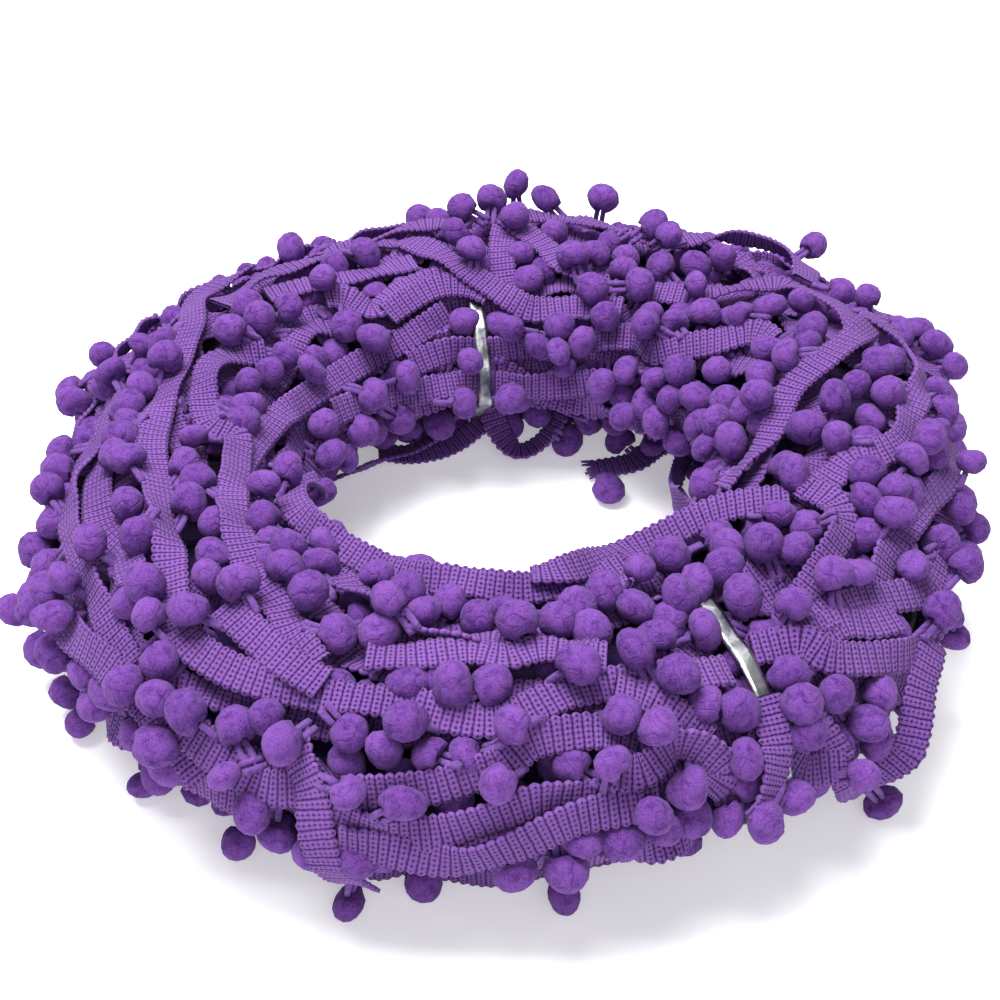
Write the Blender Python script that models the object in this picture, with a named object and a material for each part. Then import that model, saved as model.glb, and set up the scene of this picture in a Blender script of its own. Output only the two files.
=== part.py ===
"""Pompom fringe trim wound into a ring-shaped hank, held by two flat wire ties.

The hank is one solid: a lumpy ring with a flat base, the main turns of tape standing out of it
as ridges, and the pompoms that stand proud of it fused into it by their roots. Two loose ends
of tape and the two ties are solids of their own.

Places on the hank are given by three values. around is the angle about the vertical axis, in
degrees from +X. section is the angle about the ring's own middle, in degrees: 0 is outside,
90 on top, 180 inside. lift is the height above the wound core, in metres.
"""

import math
import random
from collections import namedtuple

import bmesh
import bpy
from mathutils import Matrix, Vector

# Driving sizes of the trim, in metres
POMPOM_DIAMETER = 0.010
POMPOM_PITCH = 0.015
TAPE_WIDTH = 0.0085
TAPE_THICKNESS = 0.0016
STEM_LENGTH = 0.003
STEM_WIDTH = 0.0022

# Driving sizes of the hank, in metres
CORE_INSET = 0.0042
RING_CENTRE = Vector((0.0050, 0.0015, 0.0))
INNER_UNDERCUT = 0.60
OUTER_UNDERCUT = 0.30

# The core's mesh, and how far round its section the flat base starts
CORE_STEPS_AROUND = 54
CORE_STEPS_SECTION = 14
BASE_FLATTENING = 1.28

# The ties are strips of flat wire, and the hank has a channel under each
TIE_WIDTH = 0.0038
TIE_THICKNESS = 0.0007
TIE_LIFT = 0.0016
TIE_RISE = 0.0140
TIE_BASE_GAP = 0.0003
TIE_CLEARANCE = 0.0004
TIE_STEPS = 24
TIE_AROUND = {"tie_front": -61.0, "tie_back": 99.0}

# How the pompoms are shared out over the hank
FILL_SECTIONS = (-22, 4, 30, 56, 84, 112, 140, 168, 196)
FILL_PITCH = 0.0370
LEAST_SPACING = 0.0142
POMPOM_LIFT = 0.0022
POMPOM_WAVE = 0.0008
LONG_STEM_LIFT = 0.0040
ROOT_DEPTH = 0.0030
TIE_CLEAR_DISTANCE = 0.0078
TAIL_CLEAR_DISTANCE = 0.0085
SEED = 7

# A ridge of tape reaches this far down into the core, and its mesh has a section this often
RIDGE_DEPTH = 0.0070
RIDGE_STEP = 0.0130
TAIL_STEP = 0.0033

# The hank's outline over its pompoms at eight evenly shared angles: its middle's distance from
# the centre, half its width, and its height
Station = namedtuple("Station", "around radius half_width height")
STATIONS = (
    Station(0, 0.0911, 0.0384, 0.0742),
    Station(45, 0.0947, 0.0470, 0.0648),
    Station(90, 0.0885, 0.0440, 0.0672),
    Station(135, 0.0940, 0.0446, 0.0640),
    Station(180, 0.0940, 0.0410, 0.0626),
    Station(225, 0.0964, 0.0429, 0.0665),
    Station(270, 0.0934, 0.0423, 0.0631),
    Station(315, 0.0878, 0.0433, 0.0606),
)

Turn = namedtuple("Turn", "name around section lift fringe_side")
MAIN_TURNS = (
    Turn("left_long", (157, 176, -166, -145, -132, -118, -103, -88, -70), (74, 86, 83, 74, 54, 53, 59, 61, 66),
         (0.004, 0.005, 0.005, 0.005, 0.005, 0.005, 0.005, 0.005, 0.004), -1),
    Turn("left_inner", (163, 175, -170, -153, -137, -120, -112), (102, 100, 109, 107, 92, 74, 62),
         (0.004, 0.005, 0.004, 0.005, 0.005, 0.004, 0.001), 1),
    Turn("back_left", (-168, 172, 150, 128, 110), (122, 134, 143, 143, 134),
         (0.002, 0.004, 0.004, 0.004, 0.001), 1),
    Turn("back_top", (140, 121, 104, 88, 72), (94, 101, 112, 130, 131),
         (0.002, 0.004, 0.005, 0.004, 0.002), 1),
    Turn("back_right", (56, 44, 36, 26, 14), (104, 98, 78, 70, 64),
         (0.002, 0.004, 0.005, 0.005, 0.002), 1),
    Turn("right_cross", (24, 15, 4, -8, -20), (62, 89, 115, 130, 143),
         (0.002, 0.005, 0.006, 0.005, 0.002), -1),
    Turn("right_outer", (23, 19, 2, -12, -24, -32), (50, 40, 62, 80, 96, 104),
         (0.001, 0.005, 0.005, 0.005, 0.005, 0.001), 1),
    Turn("inner_edge", (-26, -36, -56, -76, -96, -118, -136), (112, 140, 143, 130, 118, 126, 122),
         (0.002, 0.004, 0.004, 0.004, 0.004, 0.005, 0.002), -1),
    Turn("right_low", (-32, -40, -48, -54, -64), (44, 52, 66, 66, 60),
         (0.002, 0.005, 0.005, 0.004, 0.001), -1),
    Turn("front_mid", (-124, -110, -98, -86, -72), (22, 12, 24, 30, 28),
         (0.002, 0.005, 0.005, 0.005, 0.002), -1),
    Turn("left_outer", (176, -170, -158, -146, -134), (52, 55, 48, 42, 30),
         (0.002, 0.005, 0.005, 0.004, 0.001), -1),
)

Stray = namedtuple("Stray", "around section lift")
STRAY_POMPOMS = (
    Stray(-84, -38, 0.0090),
    Stray(-100, -42, 0.0050),
    Stray(-107, -36, 0.0120),
    Stray(-122, -38, 0.0085),
    Stray(-136, -36, 0.0090),
    Stray(-147, -36, 0.0110),
    Stray(-154, -32, 0.0130),
    Stray(-160, -24, 0.0130),
    Stray(-167, -18, 0.0180),
    Stray(-44, -24, 0.0140),
    Stray(-69, -46, 0.0030),
    Stray(90, 55, 0.0130),
    Stray(76, 54, 0.0100),
    Stray(103, 56, 0.0045),
    Stray(44, 46, 0.0120),
    Stray(31, 44, 0.0065),
    Stray(20, 40, 0.0065),
    Stray(127, 50, 0.0050),
    Stray(-13, 8, 0.0045),
)

FloorPoint = namedtuple("FloorPoint", "x y z")
INNER_TAIL_LINE = (
    FloorPoint(0.0590, 0.0560, 0.0044),
    FloorPoint(0.0535, 0.0612, 0.0042),
    FloorPoint(0.0465, 0.0608, 0.0032),
    FloorPoint(0.0385, 0.0545, 0.0018),
    FloorPoint(0.0255, 0.0515, 0.0012),
)
INNER_TAIL_POMPOMS = (
    FloorPoint(0.0352, 0.0615, 0.0055),
    FloorPoint(0.0298, 0.0369, 0.0050),
)
FRONT_TAIL = Turn("loose_end_front", (-65.5, -66, -67.5, -69), (50, 36, 18, 3), (-0.0004, 0.0022, 0.0062, 0.0080), 0)

Finish = namedtuple("Finish", "colour roughness metallic")
TRIM_FINISH = Finish(colour=(0.22, 0.09, 0.42, 1.0), roughness=0.95, metallic=0.0)
TIE_FINISH = Finish(colour=(0.62, 0.63, 0.64, 1.0), roughness=0.35, metallic=1.0)


def catmull_rom(before, a, b, after, t):
    """The value between a and b at t, on a smooth curve through all four."""
    return a + t * (
        (b - before) / 2
        + t * ((before - 2.5 * a + 2 * b - after / 2) + t * ((after - before) / 2 + 1.5 * (a - b)))
    )


def station(around_deg, measure):
    """A measure of the hank's outline at any angle, smoothly between the stations."""
    values = [getattr(row, measure) for row in STATIONS]
    place = (around_deg % 360) / 360 * len(values)
    first = int(place)
    near = [values[(first + i) % len(values)] for i in (-1, 0, 1, 2)]
    return catmull_rom(*near, place - first)


def half_core_height(around_deg):
    """Half the wound core's height at this angle."""
    return (station(around_deg, "height") - CORE_INSET) / 2


def hank_point(around_deg, section_deg, lift=0.0):
    """A point of the hank's rounded section, this far above the wound core."""
    around = math.radians(around_deg)
    section = math.radians(section_deg)
    half_width = station(around_deg, "half_width") - CORE_INSET + lift
    half_height = half_core_height(around_deg)
    undercut = OUTER_UNDERCUT if math.cos(section) > 0 else INNER_UNDERCUT
    drawn_in = 1 + undercut * min(0.0, math.sin(section))
    reach = station(around_deg, "radius") + half_width * math.cos(section) * drawn_in
    z = half_height + (half_height + lift) * math.sin(section)
    return RING_CENTRE + Vector((reach * math.cos(around), reach * math.sin(around), z))


def core_point(around_deg, section_deg):
    """A point of the core's own surface, whose underside is flat on the floor."""
    point = hank_point(around_deg, section_deg)
    fall = math.sin(math.radians(section_deg))
    if fall < 0:
        point.z = half_core_height(around_deg) * (1 + max(-1.0, fall * BASE_FLATTENING))
    return point


def outward(around_deg, section_deg):
    """The direction straight out of the hank at this place."""
    inside = hank_point(around_deg, section_deg, -0.002)
    outside = hank_point(around_deg, section_deg, 0.002)
    return (outside - inside).normalized()


def smooth(values, share, is_angle=False):
    """The value at this share of a Catmull-Rom curve through the values."""
    if is_angle:
        turned = [values[0]]
        for value in values[1:]:
            turned.append(turned[-1] + (value - turned[-1] + 180) % 360 - 180)
        values = turned
    place = share * (len(values) - 1)
    first = min(int(place), len(values) - 2)
    t = place - first
    before = values[max(first - 1, 0)]
    after = values[min(first + 2, len(values) - 1)]
    return catmull_rom(before, values[first], values[first + 1], after, t)


def turn_place(turn, share):
    """The around, section and lift of a turn of tape at a share of its length."""
    return (
        smooth(turn.around, share, is_angle=True),
        smooth(turn.section, share),
        smooth(turn.lift, share),
    )


def turn_length(turn, samples=40):
    """The length of a turn's middle line."""
    points = [hank_point(*turn_place(turn, i / samples)) for i in range(samples + 1)]
    return sum((b - a).length for a, b in zip(points, points[1:]))


def new_object(name, mesh, collection, finish):
    """Links a mesh as an object with its own material."""
    obj = bpy.data.objects.new(name, mesh)
    collection.objects.link(obj)
    material = bpy.data.materials.new(name + "_finish")
    material.use_nodes = True
    shader = material.node_tree.nodes["Principled BSDF"]
    shader.inputs["Base Color"].default_value = finish.colour
    shader.inputs["Roughness"].default_value = finish.roughness
    shader.inputs["Metallic"].default_value = finish.metallic
    mesh.materials.clear()
    mesh.materials.append(material)
    return obj


def loft(bm, rings, closed):
    """Joins equal rings of points with quads, and caps both ends unless the loft closes on itself."""
    made = [[bm.verts.new(point) for point in ring] for ring in rings]
    pairs = list(zip(made, made[1:]))
    if closed:
        pairs.append((made[-1], made[0]))
    for a, b in pairs:
        for i in range(len(a)):
            j = (i + 1) % len(a)
            bm.faces.new((a[i], a[j], b[j], b[i]))
    if not closed:
        bm.faces.new(made[0])
        bm.faces.new(made[-1])


def finished_mesh(name, bm):
    """Turns a bmesh into a mesh whose faces point out."""
    bmesh.ops.recalc_face_normals(bm, faces=bm.faces)
    mesh = bpy.data.meshes.new(name)
    bm.to_mesh(mesh)
    bm.free()
    return mesh


def tape_rings(points, normals, width, above, below):
    """Four corners of the tape's section at each point, above and below its middle line."""
    rings = []
    for i, (point, normal) in enumerate(zip(points, normals)):
        along = (points[min(i + 1, len(points) - 1)] - points[max(i - 1, 0)]).normalized()
        across = along.cross(normal).normalized() * (width / 2)
        up = across.cross(along).normalized()
        rings.append([
            point - across - up * below,
            point + across - up * below,
            point + across + up * above,
            point - across + up * above,
        ])
    return rings


def turn_line(turn, step=RIDGE_STEP):
    """Evenly shared points of a turn's middle line and the outward direction at each."""
    count = max(3, round(turn_length(turn) / step))
    points, normals = [], []
    for i in range(count + 1):
        around, section, lift = turn_place(turn, i / count)
        points.append(hank_point(around, section, lift))
        normals.append(outward(around, section))
    return points, normals


def core_mesh():
    """The wound core as a closed ring with a flat base."""
    bm = bmesh.new()
    rings = [
        [
            core_point(360 * i / CORE_STEPS_AROUND, 360 * (j + 0.5) / CORE_STEPS_SECTION)
            for j in range(CORE_STEPS_SECTION)
        ]
        for i in range(CORE_STEPS_AROUND)
    ]
    loft(bm, rings, closed=True)
    return finished_mesh("core", bm)


def ridge_mesh(turn):
    """One main turn of tape, deep enough to root in the core."""
    bm = bmesh.new()
    points, normals = turn_line(turn)
    loft(bm, tape_rings(points, normals, TAPE_WIDTH, TAPE_THICKNESS / 2, RIDGE_DEPTH), closed=False)
    return finished_mesh(turn.name, bm)


def pompom_mesh(centre, axis, size=POMPOM_DIAMETER):
    """One pompom as a low ball with its pole along the axis."""
    bm = bmesh.new()
    turn = axis.to_track_quat("Z", "Y").to_matrix().to_4x4()
    bmesh.ops.create_uvsphere(
        bm, u_segments=6, v_segments=4, radius=size / 2, matrix=Matrix.Translation(centre) @ turn
    )
    return finished_mesh("pompom", bm)


def stem_mesh(start, end, root_width=STEM_WIDTH):
    """The short double stem of yarn between the tape and a pompom."""
    bm = bmesh.new()
    along = end - start
    turn = along.to_track_quat("Z", "Y").to_matrix().to_4x4()
    bmesh.ops.create_cone(
        bm, cap_ends=True, segments=4, radius1=root_width / 2, radius2=STEM_WIDTH / 2, depth=along.length,
        matrix=Matrix.Translation((start + end) / 2) @ turn,
    )
    return finished_mesh("stem", bm)


def near_tie(point):
    """Whether a pompom here would lie on one of the ties."""
    for angle in TIE_AROUND.values():
        direction = Vector((math.cos(math.radians(angle)), math.sin(math.radians(angle)), 0))
        sideways = Vector((-direction.y, direction.x, 0))
        off = point - RING_CENTRE
        if off.dot(direction) > 0 and abs(off.dot(sideways)) < TIE_CLEAR_DISTANCE:
            return True
    return False


def near_tail(point):
    """Whether a pompom here would lie on one of the loose ends."""
    front, _ = turn_line(FRONT_TAIL, POMPOM_DIAMETER / 2)
    inner = [Vector(row) for row in INNER_TAIL_LINE + INNER_TAIL_POMPOMS]
    return any((point - spot).length < TAIL_CLEAR_DISTANCE + TAPE_WIDTH / 2 for spot in front + inner)


def ring_point(section_deg, step):
    """One of 24 evenly turned points round the hank at the same section angle."""
    return hank_point(15 * step, section_deg)


def pompom_places():
    """The centre, outward direction and, on a long stem, root of each pompom that stands proud of the hank."""
    chance = random.Random(SEED)
    wanted = [(row.around, row.section, row.lift) for row in STRAY_POMPOMS]
    for turn in MAIN_TURNS:
        drop = TAPE_WIDTH / 2 + STEM_LENGTH + POMPOM_DIAMETER / 2
        count = round(turn_length(turn) / (2 * POMPOM_PITCH))
        for i in range(count):
            around, section, _ = turn_place(turn, (i + 0.5) / count)
            section += turn.fringe_side * math.degrees(drop / half_core_height(around))
            wanted.append((around, section, POMPOM_LIFT))
    for row, section in enumerate(FILL_SECTIONS):
        girth = sum((ring_point(section, step + 1) - ring_point(section, step)).length for step in range(24))
        count = round(girth / FILL_PITCH)
        for i in range(count):
            around = 360 * (i + row % 2 / 2) / count + chance.uniform(-2, 2)
            wave = POMPOM_WAVE * chance.uniform(-1, 1)
            wanted.append((around, section + chance.uniform(-5, 5), POMPOM_LIFT + wave))
    places = []
    for around, section, lift in wanted:
        centre = hank_point(around, section, lift)
        hangs_low = centre.z < POMPOM_DIAMETER / 2
        centre.z = max(centre.z, POMPOM_DIAMETER / 2)
        crowded = any((centre - place[0]).length < LEAST_SPACING for place in places)
        if not (crowded or near_tie(centre) or near_tail(centre)):
            on_stem = hangs_low or lift > LONG_STEM_LIFT
            root = core_point(around, section) - outward(around, section) * ROOT_DEPTH
            places.append((centre, outward(around, section), root if on_stem else None))
    return places


def tie_rings(angle, above, below, width):
    """The section of a tie at each step of its way round the hank's section."""
    rings = []
    direction = Vector((math.cos(math.radians(angle)), math.sin(math.radians(angle)), 0))
    sideways = Vector((-direction.y, direction.x, 0)) * (width / 2)
    for step in range(TIE_STEPS):
        section = 360 * (step + 0.5) / TIE_STEPS
        point = core_point(angle, section)
        outer = outward(angle, section)
        if point.z < TIE_BASE_GAP:
            outer = Vector((0, 0, -1))
        lift = TIE_LIFT * min(1.0, point.z / TIE_RISE)
        low = point + outer * (lift - TIE_THICKNESS - below)
        high = point + outer * (lift + above)
        rings.append([low - sideways, low + sideways, high + sideways, high - sideways])
    return rings


def tie_mesh(name, angle, grown=0.0):
    """A tie as a closed band, or the wider band that cuts its channel."""
    bm = bmesh.new()
    above = 0.03 if grown else 0.0
    loft(bm, tie_rings(angle, above, grown, TIE_WIDTH + 2 * grown), closed=True)
    return finished_mesh(name, bm)


def tail_points():
    """The inner loose end's middle line and the direction that its face looks."""
    count = 12
    line = [
        Vector((smooth([getattr(row, axis) for row in INNER_TAIL_LINE], i / count) for axis in "xyz"))
        for i in range(count + 1)
    ]
    return [RING_CENTRE + point for point in line], [Vector((0, 0, 1))] * (count + 1)


def tail_mesh(name, points, normals, grown=0.0):
    """A loose end of tape, or the thicker one that cuts its pocket."""
    bm = bmesh.new()
    half = TAPE_THICKNESS / 2 + grown
    loft(bm, tape_rings(points, normals, TAPE_WIDTH + 2 * grown, half, half), closed=False)
    return finished_mesh(name, bm)


def helper(name, mesh, collection):
    """An object that only cuts or joins, and isn't a part of the hank itself."""
    obj = bpy.data.objects.new(name, mesh)
    collection.objects.link(obj)
    obj.hide_render = True
    obj.display_type = "WIRE"
    return obj


def joined_mesh(name, meshes):
    """Several meshes as one, still loose from each other."""
    bm = bmesh.new()
    for mesh in meshes:
        bm.from_mesh(mesh)
    made = bpy.data.meshes.new(name)
    bm.to_mesh(made)
    bm.free()
    return made


def add_boolean(obj, other, operation, crosses_itself=True):
    """Adds a Boolean modifier. A joined operand's pieces may cross each other."""
    modifier = obj.modifiers.new(operation.lower() + "_" + other.name, "BOOLEAN")
    modifier.object = other
    modifier.operation = operation
    modifier.solver = "EXACT"
    modifier.use_self = crosses_itself


def build_ties(collection):
    """The two ties."""
    for name, angle in TIE_AROUND.items():
        new_object(name, tie_mesh(name, angle), collection, TIE_FINISH)


def build_inner_tail(collection, helpers):
    """The loose end that lies on the floor inside the ring, with its two pompoms."""
    points, normals = tail_points()
    tail = new_object("loose_end_inner", tail_mesh("loose_end_inner", points, normals), collection, TRIM_FINISH)
    fringe = []
    pocket = [tail_mesh("inner_tail_pocket", points, normals, grown=TIE_CLEARANCE)]
    for spot in INNER_TAIL_POMPOMS:
        centre = RING_CENTRE + Vector(spot)
        nearest = min(points, key=lambda point: (point - centre).length)
        axis = (centre - nearest).normalized()
        fringe.append(pompom_mesh(centre, axis))
        fringe.append(stem_mesh(nearest, centre))
        pocket.append(pompom_mesh(centre, axis, POMPOM_DIAMETER + 3 * TIE_CLEARANCE))
    add_boolean(tail, helper("inner_tail_fringe", joined_mesh("inner_tail_fringe", fringe), helpers), "UNION")
    return helper("inner_tail_pocket", joined_mesh("inner_tail_pocket", pocket), helpers)


def build_front_tail(collection, helpers):
    """The cut end of tape that hangs at the front of the hank."""
    points, normals = turn_line(FRONT_TAIL, TAIL_STEP)
    new_object("loose_end_front", tail_mesh("loose_end_front", points, normals), collection, TRIM_FINISH)
    pocket = tail_mesh("front_tail_pocket", points, normals, grown=TIE_CLEARANCE)
    return helper("front_tail_pocket", pocket, helpers)


def build_hank(collection, helpers, pockets):
    """The wound hank with its ridges and pompoms, less the channels for the ties and loose ends."""
    hank = new_object("hank", core_mesh(), collection, TRIM_FINISH)
    pieces = [ridge_mesh(turn) for turn in MAIN_TURNS]
    for centre, axis, root in pompom_places():
        pieces.append(pompom_mesh(centre, axis))
        if root:
            pieces.append(stem_mesh(root, centre, root_width=TAPE_WIDTH / 2))
    add_boolean(hank, helper("turns_and_pompoms", joined_mesh("turns_and_pompoms", pieces), helpers), "UNION")
    for name, angle in TIE_AROUND.items():
        channel = tie_mesh(name + "_channel", angle, grown=TIE_CLEARANCE)
        add_boolean(hank, helper(name + "_channel", channel, helpers), "DIFFERENCE", crosses_itself=False)
    for pocket in pockets:
        add_boolean(hank, pocket, "DIFFERENCE")


def main():
    """Clears the scene and builds the hank."""
    for obj in list(bpy.data.objects):
        bpy.data.objects.remove(obj, do_unlink=True)
    collection = bpy.data.collections.new("pompom_fringe_hank")
    helpers = bpy.data.collections.new("helpers")
    for made in (collection, helpers):
        bpy.context.scene.collection.children.link(made)
    build_ties(collection)
    pockets = [build_inner_tail(collection, helpers), build_front_tail(collection, helpers)]
    build_hank(collection, helpers, pockets)


if __name__ == "__main__":
    main()
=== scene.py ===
"""Pompom fringe trim wound into a ring-shaped hank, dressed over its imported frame.

The trim is a woven tape with felted pompoms along one edge. Runs of it lie on the hank's rounded
form. A place there is given by two angles: around is about the vertical axis, in degrees from +X,
and section is about the ring's own middle, 0 outside, 90 on top and 180 inside. Lift is the height
above the wound core.
"""

import logging
import math
from collections.abc import Callable
from dataclasses import dataclass, field
from enum import Enum

import bpy
import numpy as np
from mathutils import Matrix, Vector
from mathutils.kdtree import KDTree

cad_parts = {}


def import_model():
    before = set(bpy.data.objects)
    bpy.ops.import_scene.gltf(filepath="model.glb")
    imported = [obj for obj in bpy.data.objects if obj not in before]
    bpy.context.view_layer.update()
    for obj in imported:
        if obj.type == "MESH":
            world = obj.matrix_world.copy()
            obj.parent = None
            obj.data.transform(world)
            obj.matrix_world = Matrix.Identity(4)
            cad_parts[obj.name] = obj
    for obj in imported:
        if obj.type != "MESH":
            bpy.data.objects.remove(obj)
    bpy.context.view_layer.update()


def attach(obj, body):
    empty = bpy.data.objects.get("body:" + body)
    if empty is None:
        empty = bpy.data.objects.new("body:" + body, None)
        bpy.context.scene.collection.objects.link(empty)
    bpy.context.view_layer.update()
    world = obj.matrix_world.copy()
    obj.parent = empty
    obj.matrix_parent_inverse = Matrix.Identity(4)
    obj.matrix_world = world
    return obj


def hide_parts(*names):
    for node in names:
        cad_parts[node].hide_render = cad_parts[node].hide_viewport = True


LOG = logging.getLogger("pompom_trim")
MM = 0.001
REST_GAP = 0.02 * MM  # the least height of a vertex above the floor

Colour = tuple[float, float, float]
Place = tuple[float, float, float]
Socket = bpy.types.NodeSocket
Sockets = bpy.types.bpy_prop_collection


class Zone(Enum):
    """The part of the hank that a run of trim belongs to."""

    LEFT = "left"
    FRONT = "front"
    RIGHT = "right"
    BACK = "back"
    FAR = "far_side"
    UNDER = "under_layer"


class Edge(Enum):
    """Which edge of the tape carries the pompoms: towards the hank's outer side or its eye."""

    OUTER = -1
    INNER = 1


@dataclass(frozen=True)
class Trim:
    """Sizes of the trim itself, in metres, and the mesh rows for each rib."""

    tape_width: float = 8.0 * MM
    tape_thickness: float = 1.4 * MM
    rib_pitch: float = 2.3 * MM
    rib_rows: int = 4
    ball_diameter: float = 9.6 * MM
    ball_pitch: float = 13.0 * MM
    stem_length: float = 4.2 * MM
    yarn_diameter: float = 1.9 * MM

    @property
    def reach(self) -> float:
        """The distance from the tape's edge to a ball's middle."""
        return self.stem_length + self.ball_diameter / 2


@dataclass(frozen=True)
class Station:
    """The hank's outline at one angle, in metres."""

    radius: float
    half_width: float
    height: float


@dataclass(frozen=True)
class HankForm:
    """The hank's rounded outline, the same as its solid's."""

    centre: tuple[float, float] = (5.0 * MM, 1.5 * MM)
    inset: float = 4.2 * MM
    inner_undercut: float = 0.60
    outer_undercut: float = 0.30
    stations: tuple[Station, ...] = (
        Station(0.0911, 0.0384, 0.0742),
        Station(0.0947, 0.0470, 0.0648),
        Station(0.0885, 0.0440, 0.0672),
        Station(0.0940, 0.0446, 0.0640),
        Station(0.0940, 0.0410, 0.0626),
        Station(0.0964, 0.0429, 0.0665),
        Station(0.0934, 0.0423, 0.0631),
        Station(0.0878, 0.0433, 0.0606),
    )

    def measure(self, around: np.ndarray, name: str) -> np.ndarray:
        """A measure of the outline, smoothly between the stations.

        Args:
            around: Angles about the vertical axis, in degrees.
            name: The station's field to read.

        Returns:
            The measure at each angle, in metres.
        """
        values = np.array([getattr(station, name) for station in self.stations])
        place = (np.asarray(around, float) % 360) / 360 * len(values)
        first = np.floor(place).astype(int)
        near = [values[(first + i) % len(values)] for i in (-1, 0, 1, 2)]
        return catmull_rom(near, place - first)

    def point(self, around: np.ndarray, section: np.ndarray, lift: np.ndarray) -> np.ndarray:
        """Points this far above the wound core.

        Args:
            around: Angles about the vertical axis, in degrees.
            section: Angles about the ring's middle, in degrees.
            lift: Heights above the core, in metres.

        Returns:
            The points, one row each.
        """
        turn, slope = np.radians(around), np.radians(section)
        half_width = self.measure(around, "half_width") - self.inset + lift
        half_height = (self.measure(around, "height") - self.inset) / 2
        undercut = np.where(np.cos(slope) > 0, self.outer_undercut, self.inner_undercut)
        drawn_in = 1 + undercut * np.minimum(0.0, np.sin(slope))
        reach = self.measure(around, "radius") + half_width * np.cos(slope) * drawn_in
        height = half_height + (half_height + lift) * np.sin(slope)
        flat = [self.centre[0] + reach * np.cos(turn), self.centre[1] + reach * np.sin(turn)]
        return np.stack(flat + [height], axis=-1)

    def outward(self, around: np.ndarray, section: np.ndarray) -> np.ndarray:
        """The unit direction straight out of the hank at each place."""
        near, far = np.full_like(around, -2 * MM), np.full_like(around, 2 * MM)
        return unit(self.point(around, section, far) - self.point(around, section, near))

    def from_centre(self, place: Place) -> np.ndarray:
        """The point of a place in millimetres from the ring's centre on the floor."""
        return np.array(place) * MM + np.array([*self.centre, 0.0])


def catmull_rom(near: list[np.ndarray], t: np.ndarray) -> np.ndarray:
    """Values on a smooth curve between the second and third of four.

    Args:
        near: The four neighbouring values.
        t: The share of the way from the second to the third.

    Returns:
        The values.
    """
    before, a, b, after = near
    pull = (b - before) / 2
    bend = before - 2.5 * a + 2 * b - after / 2
    turn = (after - before) / 2 + 1.5 * (a - b)
    return a + t * (pull + t * (bend + t * turn))


def unit(rows: np.ndarray) -> np.ndarray:
    """The rows scaled to length one."""
    return rows / np.maximum(np.linalg.norm(rows, axis=-1, keepdims=True), 1e-9)


def smooth_line(values: np.ndarray, samples: int) -> np.ndarray:
    """A Catmull-Rom line through values.

    Args:
        values: One row for each control point.
        samples: How many places are read for each control point.

    Returns:
        One row for each place, from the first control point to the last.
    """
    last = len(values) - 1
    places = np.linspace(0, last, samples * len(values))
    first = np.clip(np.floor(places).astype(int), 0, last - 1)
    near = [values[np.clip(first + i, 0, last)] for i in (-1, 0, 1, 2)]
    return catmull_rom(near, (places - first)[:, None])


def spread(values: tuple[float, ...], shares: np.ndarray) -> np.ndarray:
    """Values spaced evenly over a run, read at shares of its length."""
    return np.interp(shares, np.linspace(0, 1, len(values)), values)


def softened(values: np.ndarray, reach: int, ease: int, mode: str) -> np.ndarray:
    """Heights widened over each crest and then eased, as a stiff strip takes them.

    Args:
        values: The heights along the strip.
        reach: How many steps each crest is widened by.
        ease: How many steps the easing takes on each side.
        mode: What is past the ends, as np.pad names it.

    Returns:
        The eased heights.
    """
    wide = np.pad(values, reach, mode=mode)
    wide = np.max([wide[i:i + len(values)] for i in range(2 * reach + 1)], axis=0)
    weight = np.hanning(2 * ease + 3)[1:-1]
    return np.convolve(np.pad(wide, ease, mode=mode), weight / weight.sum(), mode="valid")


@dataclass(frozen=True)
class Run:
    """A run of trim over the hank, by the places that it passes.

    route holds (around, section) pairs in degrees. lift_mm and roll_deg are spread over its length.
    first_ball_mm is where its even row of pompoms starts, or None where it has no such row.
    """

    name: str
    zone: Zone
    fringe: Edge
    route: tuple[tuple[float, float], ...]
    lift_mm: tuple[float, ...] = (2.5,)
    roll_deg: tuple[float, ...] = (0.0,)
    first_ball_mm: float | None = None
    is_closed: bool = False
    wobble: float = 1.0
    over_tie: bool = False


@dataclass(frozen=True)
class FreeRun:
    """A run of trim that lies off the hank: route and pompoms are in millimetres from its centre."""

    name: str
    zone: Zone
    fringe: Edge
    route: tuple[Place, ...]
    roll_deg: tuple[float, ...] = (0.0,)
    pompoms: tuple[Place, ...] = ()


@dataclass
class LaidTape:
    """A run's middle line as laid, with its directions at every sample."""

    run: Run | FreeRun
    points: np.ndarray
    along: np.ndarray
    across: np.ndarray
    face: np.ndarray
    distance: np.ndarray
    is_closed: bool

    @property
    def length(self) -> float:
        """The run's length, in metres."""
        return float(self.distance[-1])


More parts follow.
